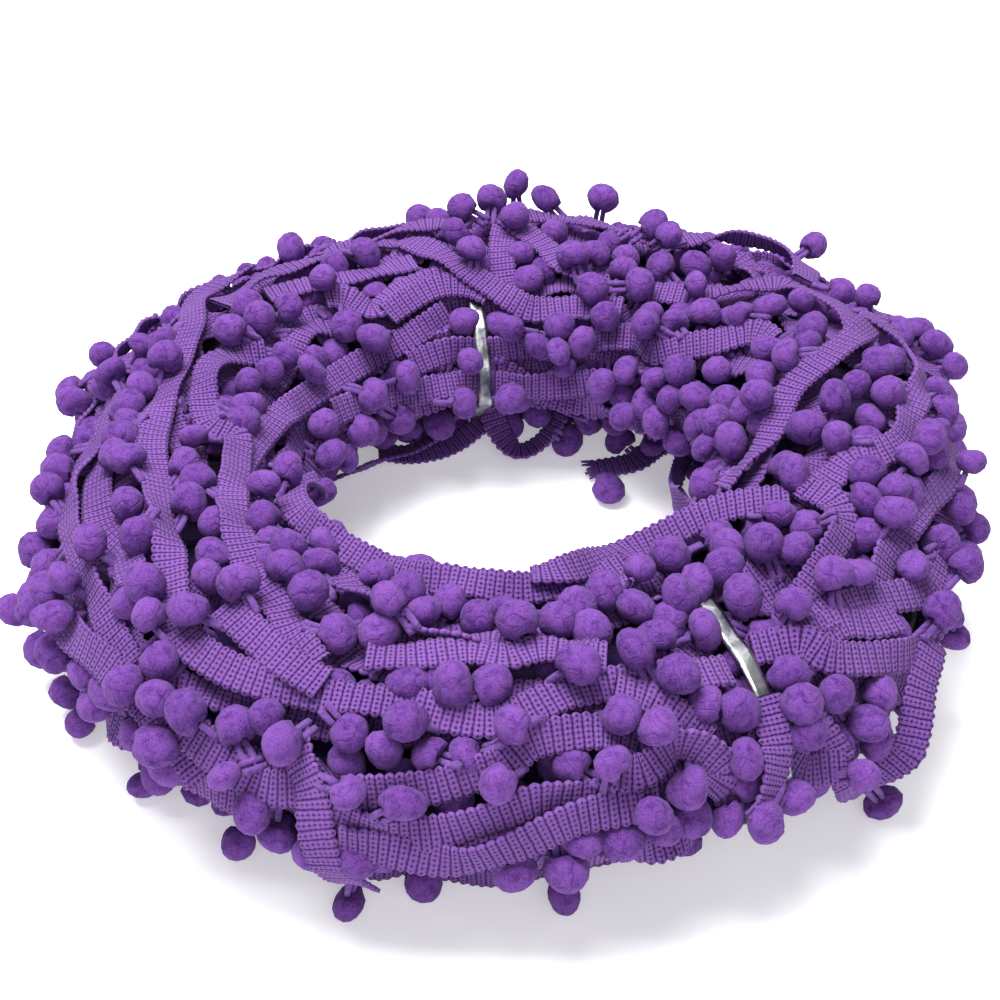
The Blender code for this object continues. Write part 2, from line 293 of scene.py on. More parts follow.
FRONT_RUNS = (
    Run("left_long", Zone.LEFT, Edge.OUTER,
        ((136, 60), (147, 60), (158, 78), (175, 86), (-166, 85), (-156, 85), (-144, 79), (-137, 70),
         (-131, 59), (-123, 55), (-112, 58), (-102, 61), (-92, 58), (-83, 67), (-74, 67), (-63, 62)),
        lift_mm=(3, 4, 4, 4, 4, 4), roll_deg=(0, 10, -15, 10, 50, 5, 0, 10, -5, 0)),
    Run("left_inner", Zone.LEFT, Edge.INNER,
        ((157, 112), (167, 98), (-176, 105), (-171, 117), (-161, 116), (-153, 111), (-142, 102),
         (-135, 95), (-128, 88), (-122, 82), (-117, 73), (-113, 66)),
        lift_mm=(2, 3, 3, 1), roll_deg=(20, -30, 0, 10, 0, 0)),
    Run("left_crown", Zone.LEFT, Edge.OUTER,
        ((-172, 63), (-160, 62), (-153, 61), (-147, 64), (-140, 61)),
        lift_mm=(1, 3, 1), roll_deg=(0, 15, 0)),
    Run("left_outer", Zone.LEFT, Edge.OUTER,
        ((172, 58), (-176, 62), (-169, 57), (-163, 53), (-157, 50), (-150, 50), (-144, 46), (-139, 42),
         (-134, 37)),
        lift_mm=(1, 3, 3, 1), roll_deg=(0, -20, 10)),
    Run("left_low", Zone.LEFT, Edge.OUTER,
        ((-150, 26), (-138, 33), (-130, 31), (-127, 27), (-124, 22), (-121, 14)),
        lift_mm=(1, 3, 2), roll_deg=(0, 20, 40)),
    Run("left_foot", Zone.LEFT, Edge.OUTER,
        ((-126, 34), (-122, 29), (-118, 25), (-114, 22), (-110, 27), (-108, 34)),
        lift_mm=(1, 3, 1), roll_deg=(0, 15, 0)),
    Run("front_slip", Zone.FRONT, Edge.OUTER,
        ((-128, 72), (-124, 70), (-120, 67), (-116, 64), (-111, 61)),
        lift_mm=(1, 2, 1)),
    Run("front_rim", Zone.FRONT, Edge.OUTER,
        ((-120, 108), (-110, 97), (-105, 90), (-100, 88), (-93, 89), (-86, 84), (-79, 78)),
        lift_mm=(1, 4, 2), roll_deg=(10, 55, 60, 20, 0)),
    Run("front_shelf", Zone.FRONT, Edge.OUTER,
        ((-108, 74), (-104, 76), (-96, 81), (-91, 80), (-86, 82), (-78, 76)),
        lift_mm=(1, 3, 1), roll_deg=(0, 15, 0)),
    Run("front_wave", Zone.FRONT, Edge.OUTER,
        ((-106, 28), (-98, 35), (-94, 40), (-91, 44), (-88, 51), (-84, 53), (-80, 52), (-76, 44)),
        lift_mm=(1, 4, 4, 1), roll_deg=(0, -20, 20)),
    Run("front_low", Zone.FRONT, Edge.OUTER,
        ((-108, 22), (-102, 18), (-97, 20), (-91, 28), (-87, 32), (-81, 30), (-75, 30)),
        lift_mm=(1, 3, 3, 1), roll_deg=(0, -15, 10)),
    Run("front_lower", Zone.FRONT, Edge.OUTER,
        ((-106, 12), (-101, 12), (-95, 10), (-90, 16), (-84, 25), (-77, 27)),
        lift_mm=(1, 3, 1), roll_deg=(10, -10, 0)),
    Run("front_cross", Zone.FRONT, Edge.OUTER,
        ((-78, 66), (-75, 62), (-73, 57), (-71, 50), (-69, 42)),
        lift_mm=(1, 3, 1), roll_deg=(0, 0)),
    Run("front_bundle", Zone.FRONT, Edge.OUTER,
        ((-80, 40), (-77, 38), (-73, 44), (-70, 40), (-68, 30), (-70, 22)),
        lift_mm=(1, 3, 2), roll_deg=(20, -40, 20)),
    Run("front_drop", Zone.FRONT, Edge.INNER,
        ((-113, 44), (-111, 36), (-109, 27), (-108, 15), (-107, 2), (-106, -12), (-105, -26)),
        lift_mm=(1, 4, 6, 7, 7), roll_deg=(0, 0)),
    Run("eye_edge", Zone.FRONT, Edge.OUTER,
        ((-177, 168), (-168, 156), (-159, 143), (-150, 136), (-141, 136), (-133, 139), (-124, 141),
         (-115, 139), (-106, 136), (-97, 134), (-88, 134), (-77, 137), (-69, 135), (-62, 133)),
        lift_mm=(3, 2.5, 1.5, 1, 1.5, 2.5, 2.5), roll_deg=(-30, -60, -75, -80, -75, -80, -70, -50),
        over_tie=True),
    Run("eye_fall", Zone.FRONT, Edge.OUTER,
        ((-30, 100), (-33, 112), (-38, 126), (-46, 136), (-56, 141), (-67, 139), (-78, 134), (-86, 136)),
        lift_mm=(1, 3.5, 3, 2, 1.5), roll_deg=(20, 45, 60, 62, 60, 50), over_tie=True),
    Run("right_sweep", Zone.RIGHT, Edge.OUTER,
        ((20, 64), (14, 76), (6, 96), (0, 111), (-5, 118), (-14, 122), (-20, 128), (-27, 133)),
        lift_mm=(2, 4, 4, 3, 1), roll_deg=(0, 10, 0)),
    Run("right_fold", Zone.RIGHT, Edge.OUTER,
        ((20, 74), (12, 61), (7, 57), (0, 60), (-7, 66), (-13, 68), (-17, 76), (-20, 85), (-25, 90),
         (-31, 93)),
        lift_mm=(1, 4, 4, 3, 2), roll_deg=(0, 30, 0, 20, 0)),
    Run("right_outer", Zone.RIGHT, Edge.OUTER,
        ((-4, 38), (-12, 42), (-20, 52), (-27, 57), (-33, 58), (-39, 50)),
        lift_mm=(1, 3, 3, 1), roll_deg=(0, 0)),
    Run("right_curl", Zone.RIGHT, Edge.OUTER,
        ((-29, 94), (-30, 84), (-33, 77), (-37, 75), (-42, 73), (-49, 70)),
        lift_mm=(1, 5, 5, 2), roll_deg=(0, 20, 0)),
    Run("right_mid", Zone.RIGHT, Edge.OUTER,
        ((-53, 64), (-48, 62), (-42, 58), (-37, 49), (-31, 38), (-26, 38)),
        lift_mm=(1, 4, 3), roll_deg=(0, 10, 0)),
    Run("right_under", Zone.RIGHT, Edge.OUTER,
        ((-54, 60), (-50, 58), (-46, 56), (-43, 50), (-39, 44)),
        lift_mm=(1, 2, 1), roll_deg=(0, 20)),
    Run("right_hem", Zone.RIGHT, Edge.OUTER,
        ((-58, 66), (-53, 60), (-51, 51), (-47, 43), (-43, 36), (-38, 27)),
        lift_mm=(1, 4, 3, 2), roll_deg=(0, -10, 10)),
    Run("right_loop", Zone.RIGHT, Edge.INNER,
        ((-36, 26), (-41, 20), (-44, 10), (-46, -4), (-49, -16), (-52, -8), (-54, 8), (-55, 24), (-56, 36)),
        lift_mm=(2, 6, 8.5, 8.5, 6, 3, 1), roll_deg=(0, -30, -60, -60, -20, 20, 30, 10, 0)),
    Run("right_low", Zone.RIGHT, Edge.OUTER,
        ((-64, 40), (-62, 34), (-60, 24), (-58, 15), (-54, 12)),
        lift_mm=(1, 3, 2), roll_deg=(0, 30)),
)

BACK_RUNS = (
    Run("back_sweep", Zone.BACK, Edge.INNER,
        ((-158, 116), (-171, 125), (176, 132), (161, 139), (145, 142), (128, 141), (117, 137), (109, 131)),
        lift_mm=(1, 3, 3, 1), roll_deg=(0, 10, -10)),
    Run("back_crown", Zone.BACK, Edge.INNER,
        ((142, 88), (136, 94), (128, 101), (121, 102), (112, 100)),
        lift_mm=(1, 3, 1), roll_deg=(0, 20)),
    Run("back_zigzag", Zone.BACK, Edge.INNER,
        ((136, 108), (132, 112), (128, 122), (121, 118), (112, 114), (105, 113)),
        lift_mm=(1, 3, 2), roll_deg=(0, 20, 0)),
    Run("back_slip", Zone.BACK, Edge.INNER,
        ((126, 127), (122, 125), (111, 120), (103, 121), (97, 126)),
        lift_mm=(1, 3, 1), over_tie=True),
    Run("back_cross", Zone.BACK, Edge.INNER,
        ((112, 84), (109, 95), (104, 111), (98, 121), (91, 129), (84, 133), (72, 129), (60, 126)),
        lift_mm=(1, 4, 3, 1), roll_deg=(0, 10, 0), over_tie=True),
    Run("back_stub", Zone.BACK, Edge.INNER,
        ((91, 74), (92, 86), (93, 103), (93, 117), (92, 126)),
        lift_mm=(3, 4, 1), roll_deg=(0, 0)),
    Run("back_notch", Zone.BACK, Edge.INNER,
        ((92, 82), (88, 91), (83, 100), (79, 108), (72, 113)),
        lift_mm=(1, 4, 1), roll_deg=(0, 20)),
    Run("back_right", Zone.BACK, Edge.INNER,
        ((60, 112), (49, 107), (44, 101), (40, 90), (36, 81), (28, 78), (19, 76), (10, 78)),
        lift_mm=(1, 3, 4, 2), roll_deg=(0, 15, 0)),
    Run("back_loop", Zone.BACK, Edge.INNER,
        ((60, 76), (54, 64), (47, 58), (40, 62), (35, 74)),
        lift_mm=(2, 6, 8, 6, 2), roll_deg=(0, 30, 0)),
    Run("back_mid", Zone.BACK, Edge.INNER,
        ((20, 112), (26, 113), (31, 124), (40, 134), (46, 140), (52, 136), (56, 137), (66, 142)),
        lift_mm=(1, 3, 3, 1), roll_deg=(0, 25, 0)),
    Run("back_shelf", Zone.BACK, Edge.INNER,
        ((70, 146), (84, 150), (98, 152), (112, 150), (126, 152)),
        lift_mm=(1, 3, 2), roll_deg=(0, 20, 0)),
    Run("back_hem", Zone.BACK, Edge.OUTER,
        ((60, 162), (72, 168), (86, 170), (100, 170), (116, 166), (130, 164), (146, 158), (160, 152)),
        lift_mm=(1, 4, 3, 3), roll_deg=(0, -20, 10)),
    Run("back_crest", Zone.BACK, Edge.OUTER,
        ((150, 80), (136, 77), (122, 82), (108, 75), (96, 79), (82, 72), (70, 79), (58, 84)),
        lift_mm=(1, 3, 4, 3), roll_deg=(0, 20, -10, 15), over_tie=True),
)

FREE_RUNS = (
    FreeRun("floor_strand", Zone.FRONT, Edge.OUTER,
            ((-39.5, -113.0, 5.2), (-32.5, -114.8, 4.8), (-25.0, -112.6, 4.6), (-15.7, -113.6, 4.5),
             (-4.1, -116.0, 4.5), (7.0, -114.4, 4.5), (16.5, -111.4, 4.4), (25.8, -108.2, 4.4),
             (32.9, -104.6, 5.0), (39.8, -99.6, 8.0), (44.0, -94.0, 13.0)),
            roll_deg=(70, 80, 88, 75, 60, 78, 70, 50)),
    FreeRun("loose_end_inner", Zone.BACK, Edge.OUTER,
            ((59.0, 56.0, 4.6), (53.5, 61.2, 4.4), (46.5, 60.8, 3.4), (38.5, 54.5, 2.0), (25.5, 51.5, 1.4)),
            roll_deg=(0, 10, 0), pompoms=((35.2, 62.0, 5.5), (29.8, 36.9, 5.0))),
    FreeRun("eye_loop", Zone.RIGHT, Edge.INNER,
            ((57.0, 52.0, 14.0), (53.0, 44.0, 9.0), (50.0, 33.0, 9.0), (48.5, 22.0, 14.0), (48.0, 10.0, 22.0),
             (50.0, 0.0, 30.0)),
            roll_deg=(60, 70, 80, 60)),
    FreeRun("eye_hem", Zone.BACK, Edge.OUTER,
            ((-74.0, 37.0, 6.0), (-66.0, 38.5, 4.0), (-57.0, 42.5, 4.0), (-45.0, 50.5, 4.0),
             (-33.0, 56.5, 5.0),
             (-24.0, 61.5, 9.0), (-21.0, 64.5, 16.0), (-19.0, 69.0, 25.0)),
            roll_deg=(20, 30, 50, 25, 20, 0), pompoms=((-64.0, 34.0, 5.0), (-34.0, 60.0, 11.0))),
    FreeRun("eye_floor", Zone.BACK, Edge.OUTER,
            ((-44.0, 57.0, 4.0), (-36.0, 58.0, 2.0), (-27.0, 60.5, 1.8), (-18.0, 65.0, 3.0),
             (-8.0, 71.0, 8.0)),
            roll_deg=(0, -15, 0)),
    FreeRun("eye_tongue", Zone.BACK, Edge.OUTER,
            ((-9.0, 76.0, 31.0), (-8.5, 70.5, 21.0), (-5.5, 63.0, 10.0), (1.0, 58.0, 4.0), (9.0, 60.5, 6.0),
             (15.0, 66.0, 13.0), (19.0, 73.0, 24.0)),
            roll_deg=(0, -10, 0, 20, 0), pompoms=((8.0, 66.0, 12.0), (17.0, 62.0, 5.0))),
)

FRONT_END = Run("loose_end_front", Zone.FRONT, Edge.OUTER,
                ((-61.0, 50), (-61.4, 41), (-62.0, 32), (-63.4, 23), (-65.0, 14)),
                lift_mm=(1, 4, 6, 7), roll_deg=(0, 10, 0), over_tie=True)

SEEN_POMPOMS = (
    (-180, 110), (-179, 70), (-177, 117), (-176, 47), (-171, 76), (-169, 47), (-169, 101),
    (-164, 47), (-161, 43), (-161, 79), (-160, 94), (-159, 138), (-155, 100), (-155, 34), (-153, 75),
    (-152, 119), (-152, 20), (-150, 35), (-148, 57), (-148, 92), (-147, 46), (-145, 72), (-145, 33),
    (-139, 56), (-139, 107), (-137, 62), (-136, 87), (-133, 56), (-133, 77), (-131, 36), (-130, 102),
    (-129, 63), (-129, 48), (-128, 119), (-127, 78), (-126, 37), (-125, 94), (-125, 25), (-123, 37),
    (-122, 104), (-119, 88), (-119, 35), (-117, 26), (-116, 45), (-115, 111), (-113, 81), (-112, 40),
    (-107, 90), (-107, 106), (-107, 84), (-107, 48), (-105, 32), (-105, 8), (-104, 96), (-103, 45),
    (-101, 55), (-101, 107), (-100, 30), (-98, 44), (-97, 68), (-95, 98), (-94, 48), (-93, 69),
    (-91, 36), (-90, 53), (-89, 90), (-84, 44), (-82, 74), (-82, 97), (-80, 42), (-79, 94),
    (-78, 56), (-77, 25), (-75, 73), (-75, 49), (-75, 14), (-73, 106), (-72, 29), (-71, 63),
    (-69, 84), (-68, 53), (-66, 90), (-66, 110), (-66, 34), (-65, 12), (-64, 48), (-63, 79),
    (-62, 93), (-61, 11), (-59, 42), (-58, 110), (-58, 35), (-57, 50), (-55, 95), (-54, 82),
    (-54, 11), (-52, 39), (-51, 69), (-49, 19), (-47, 105), (-47, 28), (-43, 90), (-43, 67),
    (-42, 86), (-41, 64), (-39, 38), (-35, 99), (-35, 87), (-34, 34), (-32, 49),
    (-28, 76), (-28, 65), (-27, 100), (-26, 33), (-24, 38), (-23, 68), (-18, 90), (-18, 64),
    (-16, 157), (-15, 31), (-14, 61), (-12, 52), (-11, 40), (-8, 142), (-7, 125), (-7, 54),
    (-6, 97), (-5, 74), (-3, 88), (0, 137), (1, 51), (3, 78), (6, 163), (7, 113), (9, 126),
    (13, 33), (15, 159), (16, 36), (16, 98), (18, 54), (21, 149), (23, 138), (27, 90), (29, 158),
    (30, 111), (30, 102), (30, 169), (31, 62), (32, 146), (41, 116), (45, 123), (47, 107),
    (49, 131), (50, 151), (51, 79), (53, 90), (53, 123), (58, 100), (59, 88), (59, 162), (62, 132),
    (63, 109), (64, 82), (66, 98), (68, 145), (69, 123), (71, 90), (73, 100), (74, 143), (75, 151),
    (76, 110), (82, 87), (82, 149), (85, 66), (90, 90), (90, 144), (91, 173), (94, 76), (100, 82), (102, 90),
    (100, 109), (104, 139), (106, 155), (112, 171), (121, 94), (127, 90), (131, 156), (134, 135),
    (135, 105), (135, 176), (137, 124), (144, 103), (147, 154), (148, 87), (150, 131), (151, 101),
    (153, 166), (157, 132), (159, 99), (161, 60), (161, 70), (161, 153), (167, 115), (169, 167),
    (170, 52), (171, 83), (172, 61), (176, 75), (177, 120),
)


@dataclass(frozen=True)
class Stray:
    """A pompom that stands well out of the hank, at the place of its middle."""

    around: float
    section: float
    lift: float


STRAYS = (
    Stray(-84, -38, 9.0 * MM),
    Stray(-100, -42, 5.0 * MM),
    Stray(-107.2, -36, 13.5 * MM),
    Stray(-122, -38, 8.5 * MM),
    Stray(-137, -38, 11.0 * MM),
    Stray(-149.5, -34, 15.0 * MM),
    Stray(-154, -32, 13.0 * MM),
    Stray(-160, -24, 13.0 * MM),
    Stray(-167, -18, 18.0 * MM),
    Stray(-44.5, -30, 19.5 * MM),
    Stray(-69, -46, 3.0 * MM),
    Stray(90, 55, 13.0 * MM),
    Stray(76, 54, 10.0 * MM),
    Stray(103, 58, 3.0 * MM),
    Stray(44, 46, 12.0 * MM),
    Stray(31, 44, 6.5 * MM),
    Stray(20, 40, 6.5 * MM),
    Stray(127, 52, 3.5 * MM),
    Stray(-13, 14, 2.5 * MM),
)


@dataclass(frozen=True)
class LaneSet:
    """Turns of trim laid by rule where no single run is told apart."""

    zone: Zone
    start: float
    end: float
    sections: tuple[float, ...]
    lift_mm: float
    wander_deg: float
    waves: float
    step_deg: float = 12.0
    phases: tuple[float, float] = (2.4, 1.3)
    wobble: float = 2.4

    def runs(self) -> list[Run]:
        """The lanes as runs, each wandering in its own way.

        Returns:
            The runs.
        """
        turn = self.end - self.start
        is_closed = abs(turn) == 360
        count = max(6, round(abs(turn) / self.step_deg))
        made = []
        for row, section in enumerate(self.sections):
            route = []
            for step in range(count + 1):
                share = step / count
                swing = math.sin(2 * math.pi * self.waves * share + self.phases[0] * row)
                swing += 0.5 * math.sin(2 * math.pi * (2 * self.waves + 1) * share + self.phases[1] * row)
                route.append((self.start + turn * share, section + self.wander_deg * swing))
            if is_closed:
                route[-1] = (self.end, route[0][1])
            made.append(Run(
                f"{self.zone.value}_lane_{row}", self.zone, Edge.OUTER if row % 2 else Edge.INNER,
                tuple(route), lift_mm=(self.lift_mm,), first_ball_mm=4 + 3 * (row % 4),
                is_closed=is_closed, wobble=self.wobble,
            ))
        return made


LANES = (
    LaneSet(Zone.UNDER, 0, 360, (-52, -26, 0, 25, 50, 75, 100, 125, 150, 176, 202, 232), -3.0, 8.0, 5),
    LaneSet(Zone.FAR, 12, 168, (-36, -10, 14, 32), 0.8, 6.0, 3),
    LaneSet(Zone.FAR, -160, -24, (158, 184, 208), 2.0, 5.0, 3),
)


@dataclass(frozen=True)
class Tie:
    """A strip of flat wire round the hank."""

    name: str
    around: float
    lean: float
    bare: tuple[float, float]
    width: float = 4.6 * MM
    thickness: float = 0.6 * MM


TIES = (
    Tie("tie_front", -58.7, 3.0, (50, 84)),
    Tie("tie_back", 101.0, 0.0, (141, 188)),
)


class LiftMap:
    """How high the trim already lies over the hank, on a grid of both angles."""

    AROUND_PER_DEG = 2
    SECTION_DEG = 2

    def __init__(self, start: float) -> None:
        """Starts every cell at the same height, in metres."""
        self.height = np.full((360 * self.AROUND_PER_DEG, 360 // self.SECTION_DEG), start)

    def cells(self, around: np.ndarray, section: np.ndarray) -> tuple[np.ndarray, np.ndarray]:
        """The grid cells that hold these places.

        Args:
            around: Angles about the vertical axis, in degrees.
            section: Angles about the ring's middle, in degrees.

        Returns:
            The cells' rows and columns.
        """
        rows, columns = self.height.shape
        row = np.floor(around * self.AROUND_PER_DEG).astype(int) % rows
        return row, np.floor(section / self.SECTION_DEG).astype(int) % columns

    def highest(self, around: np.ndarray, section: np.ndarray) -> np.ndarray:
        """The height at each place."""
        return self.height[self.cells(around, section)]

    def raise_to(self, around: np.ndarray, section: np.ndarray, lift: np.ndarray) -> None:
        """Raises the cells to at least these heights."""
        np.maximum.at(self.height, self.cells(around, section), lift)


@dataclass
class Winder:
    """Lays the runs of tape on the hank, each over those that it crosses."""

    form: HankForm
    trim: Trim
    step: float = 0.6 * MM
    least_steps: int = 8
    run_samples: int = 40
    free_samples: int = 60
    read_lift: float = 2 * MM
    tie_reach: float = 9.0 * MM
    tie_squeeze: float = 0.3
    tie_lift: float = 0.9 * MM
    free_height: float = 3.5 * MM
    crush: float = 0.45
    edge_rise: float = 0.3
    layer_gap: float = 0.1 * MM
    crossing_reach: float = 4 * MM
    ease_reach: float = 12 * MM
    print_columns: int = 9
    print_share: float = 0.55
    print_nudge: float = 0.5
    roll_wobble: float = 17.0
    lift_wobble: float = 0.6 * MM
    wave_phase: float = 1.7
    waves_per_metre: tuple[int, ...] = (28, 45, 17)
    wave_spread: tuple[int, ...] = (5, 7, 3)
    roll_mix: tuple[float, float] = (0.6, 0.5)
    lift_mix: tuple[float, float] = (0.5, 0.5)
    stack: LiftMap = field(default_factory=lambda: LiftMap(-6.0 * MM))
    laid: list[LaidTape] = field(default_factory=list)

    def lay(self, run: Run) -> LaidTape:
        """Lays a run over the hank.

        Args:
            run: The run and its places.

        Returns:
            Its middle line, with directions.
        """
        around, section = self.even_places(run)
        shares = np.linspace(0, 1, len(around))
        flat = self.form.point(around, section, np.zeros_like(around))
        sway, swell = self.wobbles(self.distances(flat), run.is_closed)
        roll = np.radians(spread(run.roll_deg, shares) + sway * self.roll_wobble * run.wobble)
        along = unit(self.gradient(flat, run.is_closed))
        outward = self.form.outward(around, section)
        across = unit(np.cross(along, outward))
        footprint = self.footprint(around, section, across * np.cos(roll)[:, None])
        on_edge = np.abs(np.sin(roll)) * self.trim.tape_width / 2
        rise = self.trim.tape_thickness / 2 + self.edge_rise * on_edge
        below = np.max([self.stack.highest(*places) for places in footprint], axis=0)
        below = below - np.maximum(below - self.free_height, 0) * (1 - self.crush)
        wanted = spread(run.lift_mm, shares) * MM + swell * self.lift_wobble * run.wobble
        lift = softened(
            np.maximum(below + rise + self.layer_gap, wanted), round(self.crossing_reach / self.step),
            round(self.ease_reach / self.step), "wrap" if run.is_closed else "edge",
        )
        if not run.over_tie:
            squeeze = self.near_tie(flat)
            squeezed = np.minimum(lift, self.tie_lift + self.tie_squeeze * lift)
            lift = lift * (1 - squeeze) + squeezed * squeeze
        for places in footprint:
            self.stack.raise_to(*places, lift + rise)
        points = self.form.point(around, section, lift)
        points[:, 2] = np.maximum(points[:, 2], self.trim.tape_thickness / 2 + on_edge)
        return self.keep(run, points, outward, roll, run.is_closed)

    def lay_free(self, run: FreeRun) -> LaidTape:
        """Lays a run that lies off the hank, through its own points.

        Args:
            run: The run and its points.

        Returns:
            Its middle line, with directions.
        """
        control = np.array([self.form.from_centre(place) for place in run.route])
        dense = smooth_line(control, self.free_samples)
        distance = self.distances(dense)
        count = max(self.least_steps, round(distance[-1] / self.step))
        even = np.linspace(0, distance[-1], count + 1)
        points = np.stack([np.interp(even, distance, dense[:, i]) for i in range(3)], axis=-1)
        roll = np.radians(spread(run.roll_deg, np.linspace(0, 1, len(points))))
        up = np.tile([0.0, 0.0, 1.0], (len(points), 1))
        return self.keep(run, points, up, roll, False)

    def wobbles(self, distance: np.ndarray, is_closed: bool) -> tuple[np.ndarray, np.ndarray]:
        """Two slow waves along a run, different on every run.

        Args:
            distance: The distance along the run, in metres.
            is_closed: Whether its end meets its start.

        Returns:
            The waves for its roll and its lift, each from about -1 to 1.
        """
        phase = self.wave_phase * len(self.laid)
        turns = (math.sin(phase), math.sin(2 * phase), math.cos(phase))
        counts = zip(self.waves_per_metre, self.wave_spread, turns)
        per_metre = [round(count + share * turn) for count, share, turn in counts]
        place = distance / (1000 * MM) * 2 * math.pi
        waves = per_metre
        if is_closed:
            place = distance / distance[-1] * 2 * math.pi
            waves = [max(1, round(wave * distance[-1])) for wave in per_metre]
        sines = [np.sin(place * wave + phase * (n + 1)) for n, wave in enumerate(waves)]
        roll = self.roll_mix[0] * sines[0] + self.roll_mix[1] * sines[1]
        return roll, self.lift_mix[0] * sines[2] + self.lift_mix[1] * sines[0]

    def even_places(self, run: Run) -> tuple[np.ndarray, np.ndarray]:
        """A run's angles at even steps along it.

        Args:
            run: The run.

        Returns:
            Its around and its section at each step, in degrees.
        """
        control = np.array(run.route, float)
        control[:, 0] = np.degrees(np.unwrap(np.radians(control[:, 0])))
        dense = smooth_line(control, self.run_samples)
        flat = self.form.point(dense[:, 0], dense[:, 1], np.full(len(dense), self.read_lift))
        distance = self.distances(flat)
        count = max(self.least_steps, round(distance[-1] / self.step))
        if run.is_closed:
            count = round(distance[-1] / self.trim.rib_pitch) * self.trim.rib_rows
        even = np.linspace(0, distance[-1], count + 1)
        if run.is_closed:
            even = even[:-1]
        return np.interp(even, distance, dense[:, 0]), np.interp(even, distance, dense[:, 1])

    def footprint(self, around: np.ndarray, section: np.ndarray, across: np.ndarray) -> list:
        """The places under the tape's width.

        Args:
            around: The middle line's angles about the vertical axis.
            section: Its angles about the ring's middle.
            across: The direction over the tape's width, shortened where the tape is rolled.

        Returns:
            One pair of angle rows for each step across the tape.
        """
        still = np.zeros_like(around)
        place, nudge = self.form.point, self.print_nudge
        by_around = place(around + nudge, section, still) - place(around - nudge, section, still)
        by_section = place(around, section + nudge, still) - place(around, section - nudge, still)
        turn = np.sum(across * unit(by_around), axis=1) / np.linalg.norm(by_around, axis=1)
        slope = np.sum(across * unit(by_section), axis=1) / np.linalg.norm(by_section, axis=1)
        offsets = np.linspace(-self.print_share, self.print_share, self.print_columns) * self.trim.tape_width
        return [(around + turn * off, section + slope * off) for off in offsets]

    def near_tie(self, points: np.ndarray) -> np.ndarray:
        """How strongly a tie squeezes the tape at each point.

        Args:
            points: The tape's middle line.

        Returns:
            The squeeze at each point, from 0 to 1.
        """
        squeeze = np.zeros(len(points))
        off = points[:, :2] - np.array(self.form.centre)
        for tie in TIES:
            turn = math.radians(tie.around)
            ahead = off @ np.array([math.cos(turn), math.sin(turn)])
            aside = off @ np.array([-math.sin(turn), math.cos(turn)])
            here = np.exp(-((aside / self.tie_reach) ** 4)) * (ahead > 0)
            squeeze = np.maximum(squeeze, here)
        return squeeze

    @staticmethod
    def distances(points: np.ndarray) -> np.ndarray:
        """The distance along a line of points, from its first."""
        steps = np.linalg.norm(np.diff(points, axis=0), axis=1)
        return np.concatenate([[0.0], np.cumsum(steps)])

    @staticmethod
    def gradient(points: np.ndarray, is_closed: bool) -> np.ndarray:
        """The direction of travel at each point.

        Args:
            points: A line of points.
            is_closed: Whether its end meets its start.

        Returns:
            The directions, not scaled to length one.
        """
        if is_closed:
            return np.roll(points, -1, axis=0) - np.roll(points, 1, axis=0)
        return np.gradient(points, axis=0)

    def keep(self, run: Run | FreeRun, points: np.ndarray, outward: np.ndarray, roll: np.ndarray,
             is_closed: bool) -> LaidTape:
        """Adds the tape's own directions to its middle line and keeps it.

        Args:
            run: The run.
            points: Its middle line.
            outward: The direction out of what it lies on.
            roll: Its turn about its own length, in radians.
            is_closed: Whether its end meets its start.

        Returns:
            The laid tape.
        """
        along = unit(self.gradient(points, is_closed))
        side = unit(np.cross(along, outward))
        normal = unit(np.cross(side, along))
        across = side * np.cos(roll)[:, None] + normal * np.sin(roll)[:, None]
        face = unit(np.cross(across, along))
        laid = LaidTape(run, points, along, across, face, self.distances(points), is_closed)
        self.laid.append(laid)
        return laid


@dataclass
class Pompom:
    """A pompom's place, and the tape edge that its stem comes from."""

    anchor: np.ndarray
    middle: np.ndarray
    along: np.ndarray
    zone: Zone
    pull: float


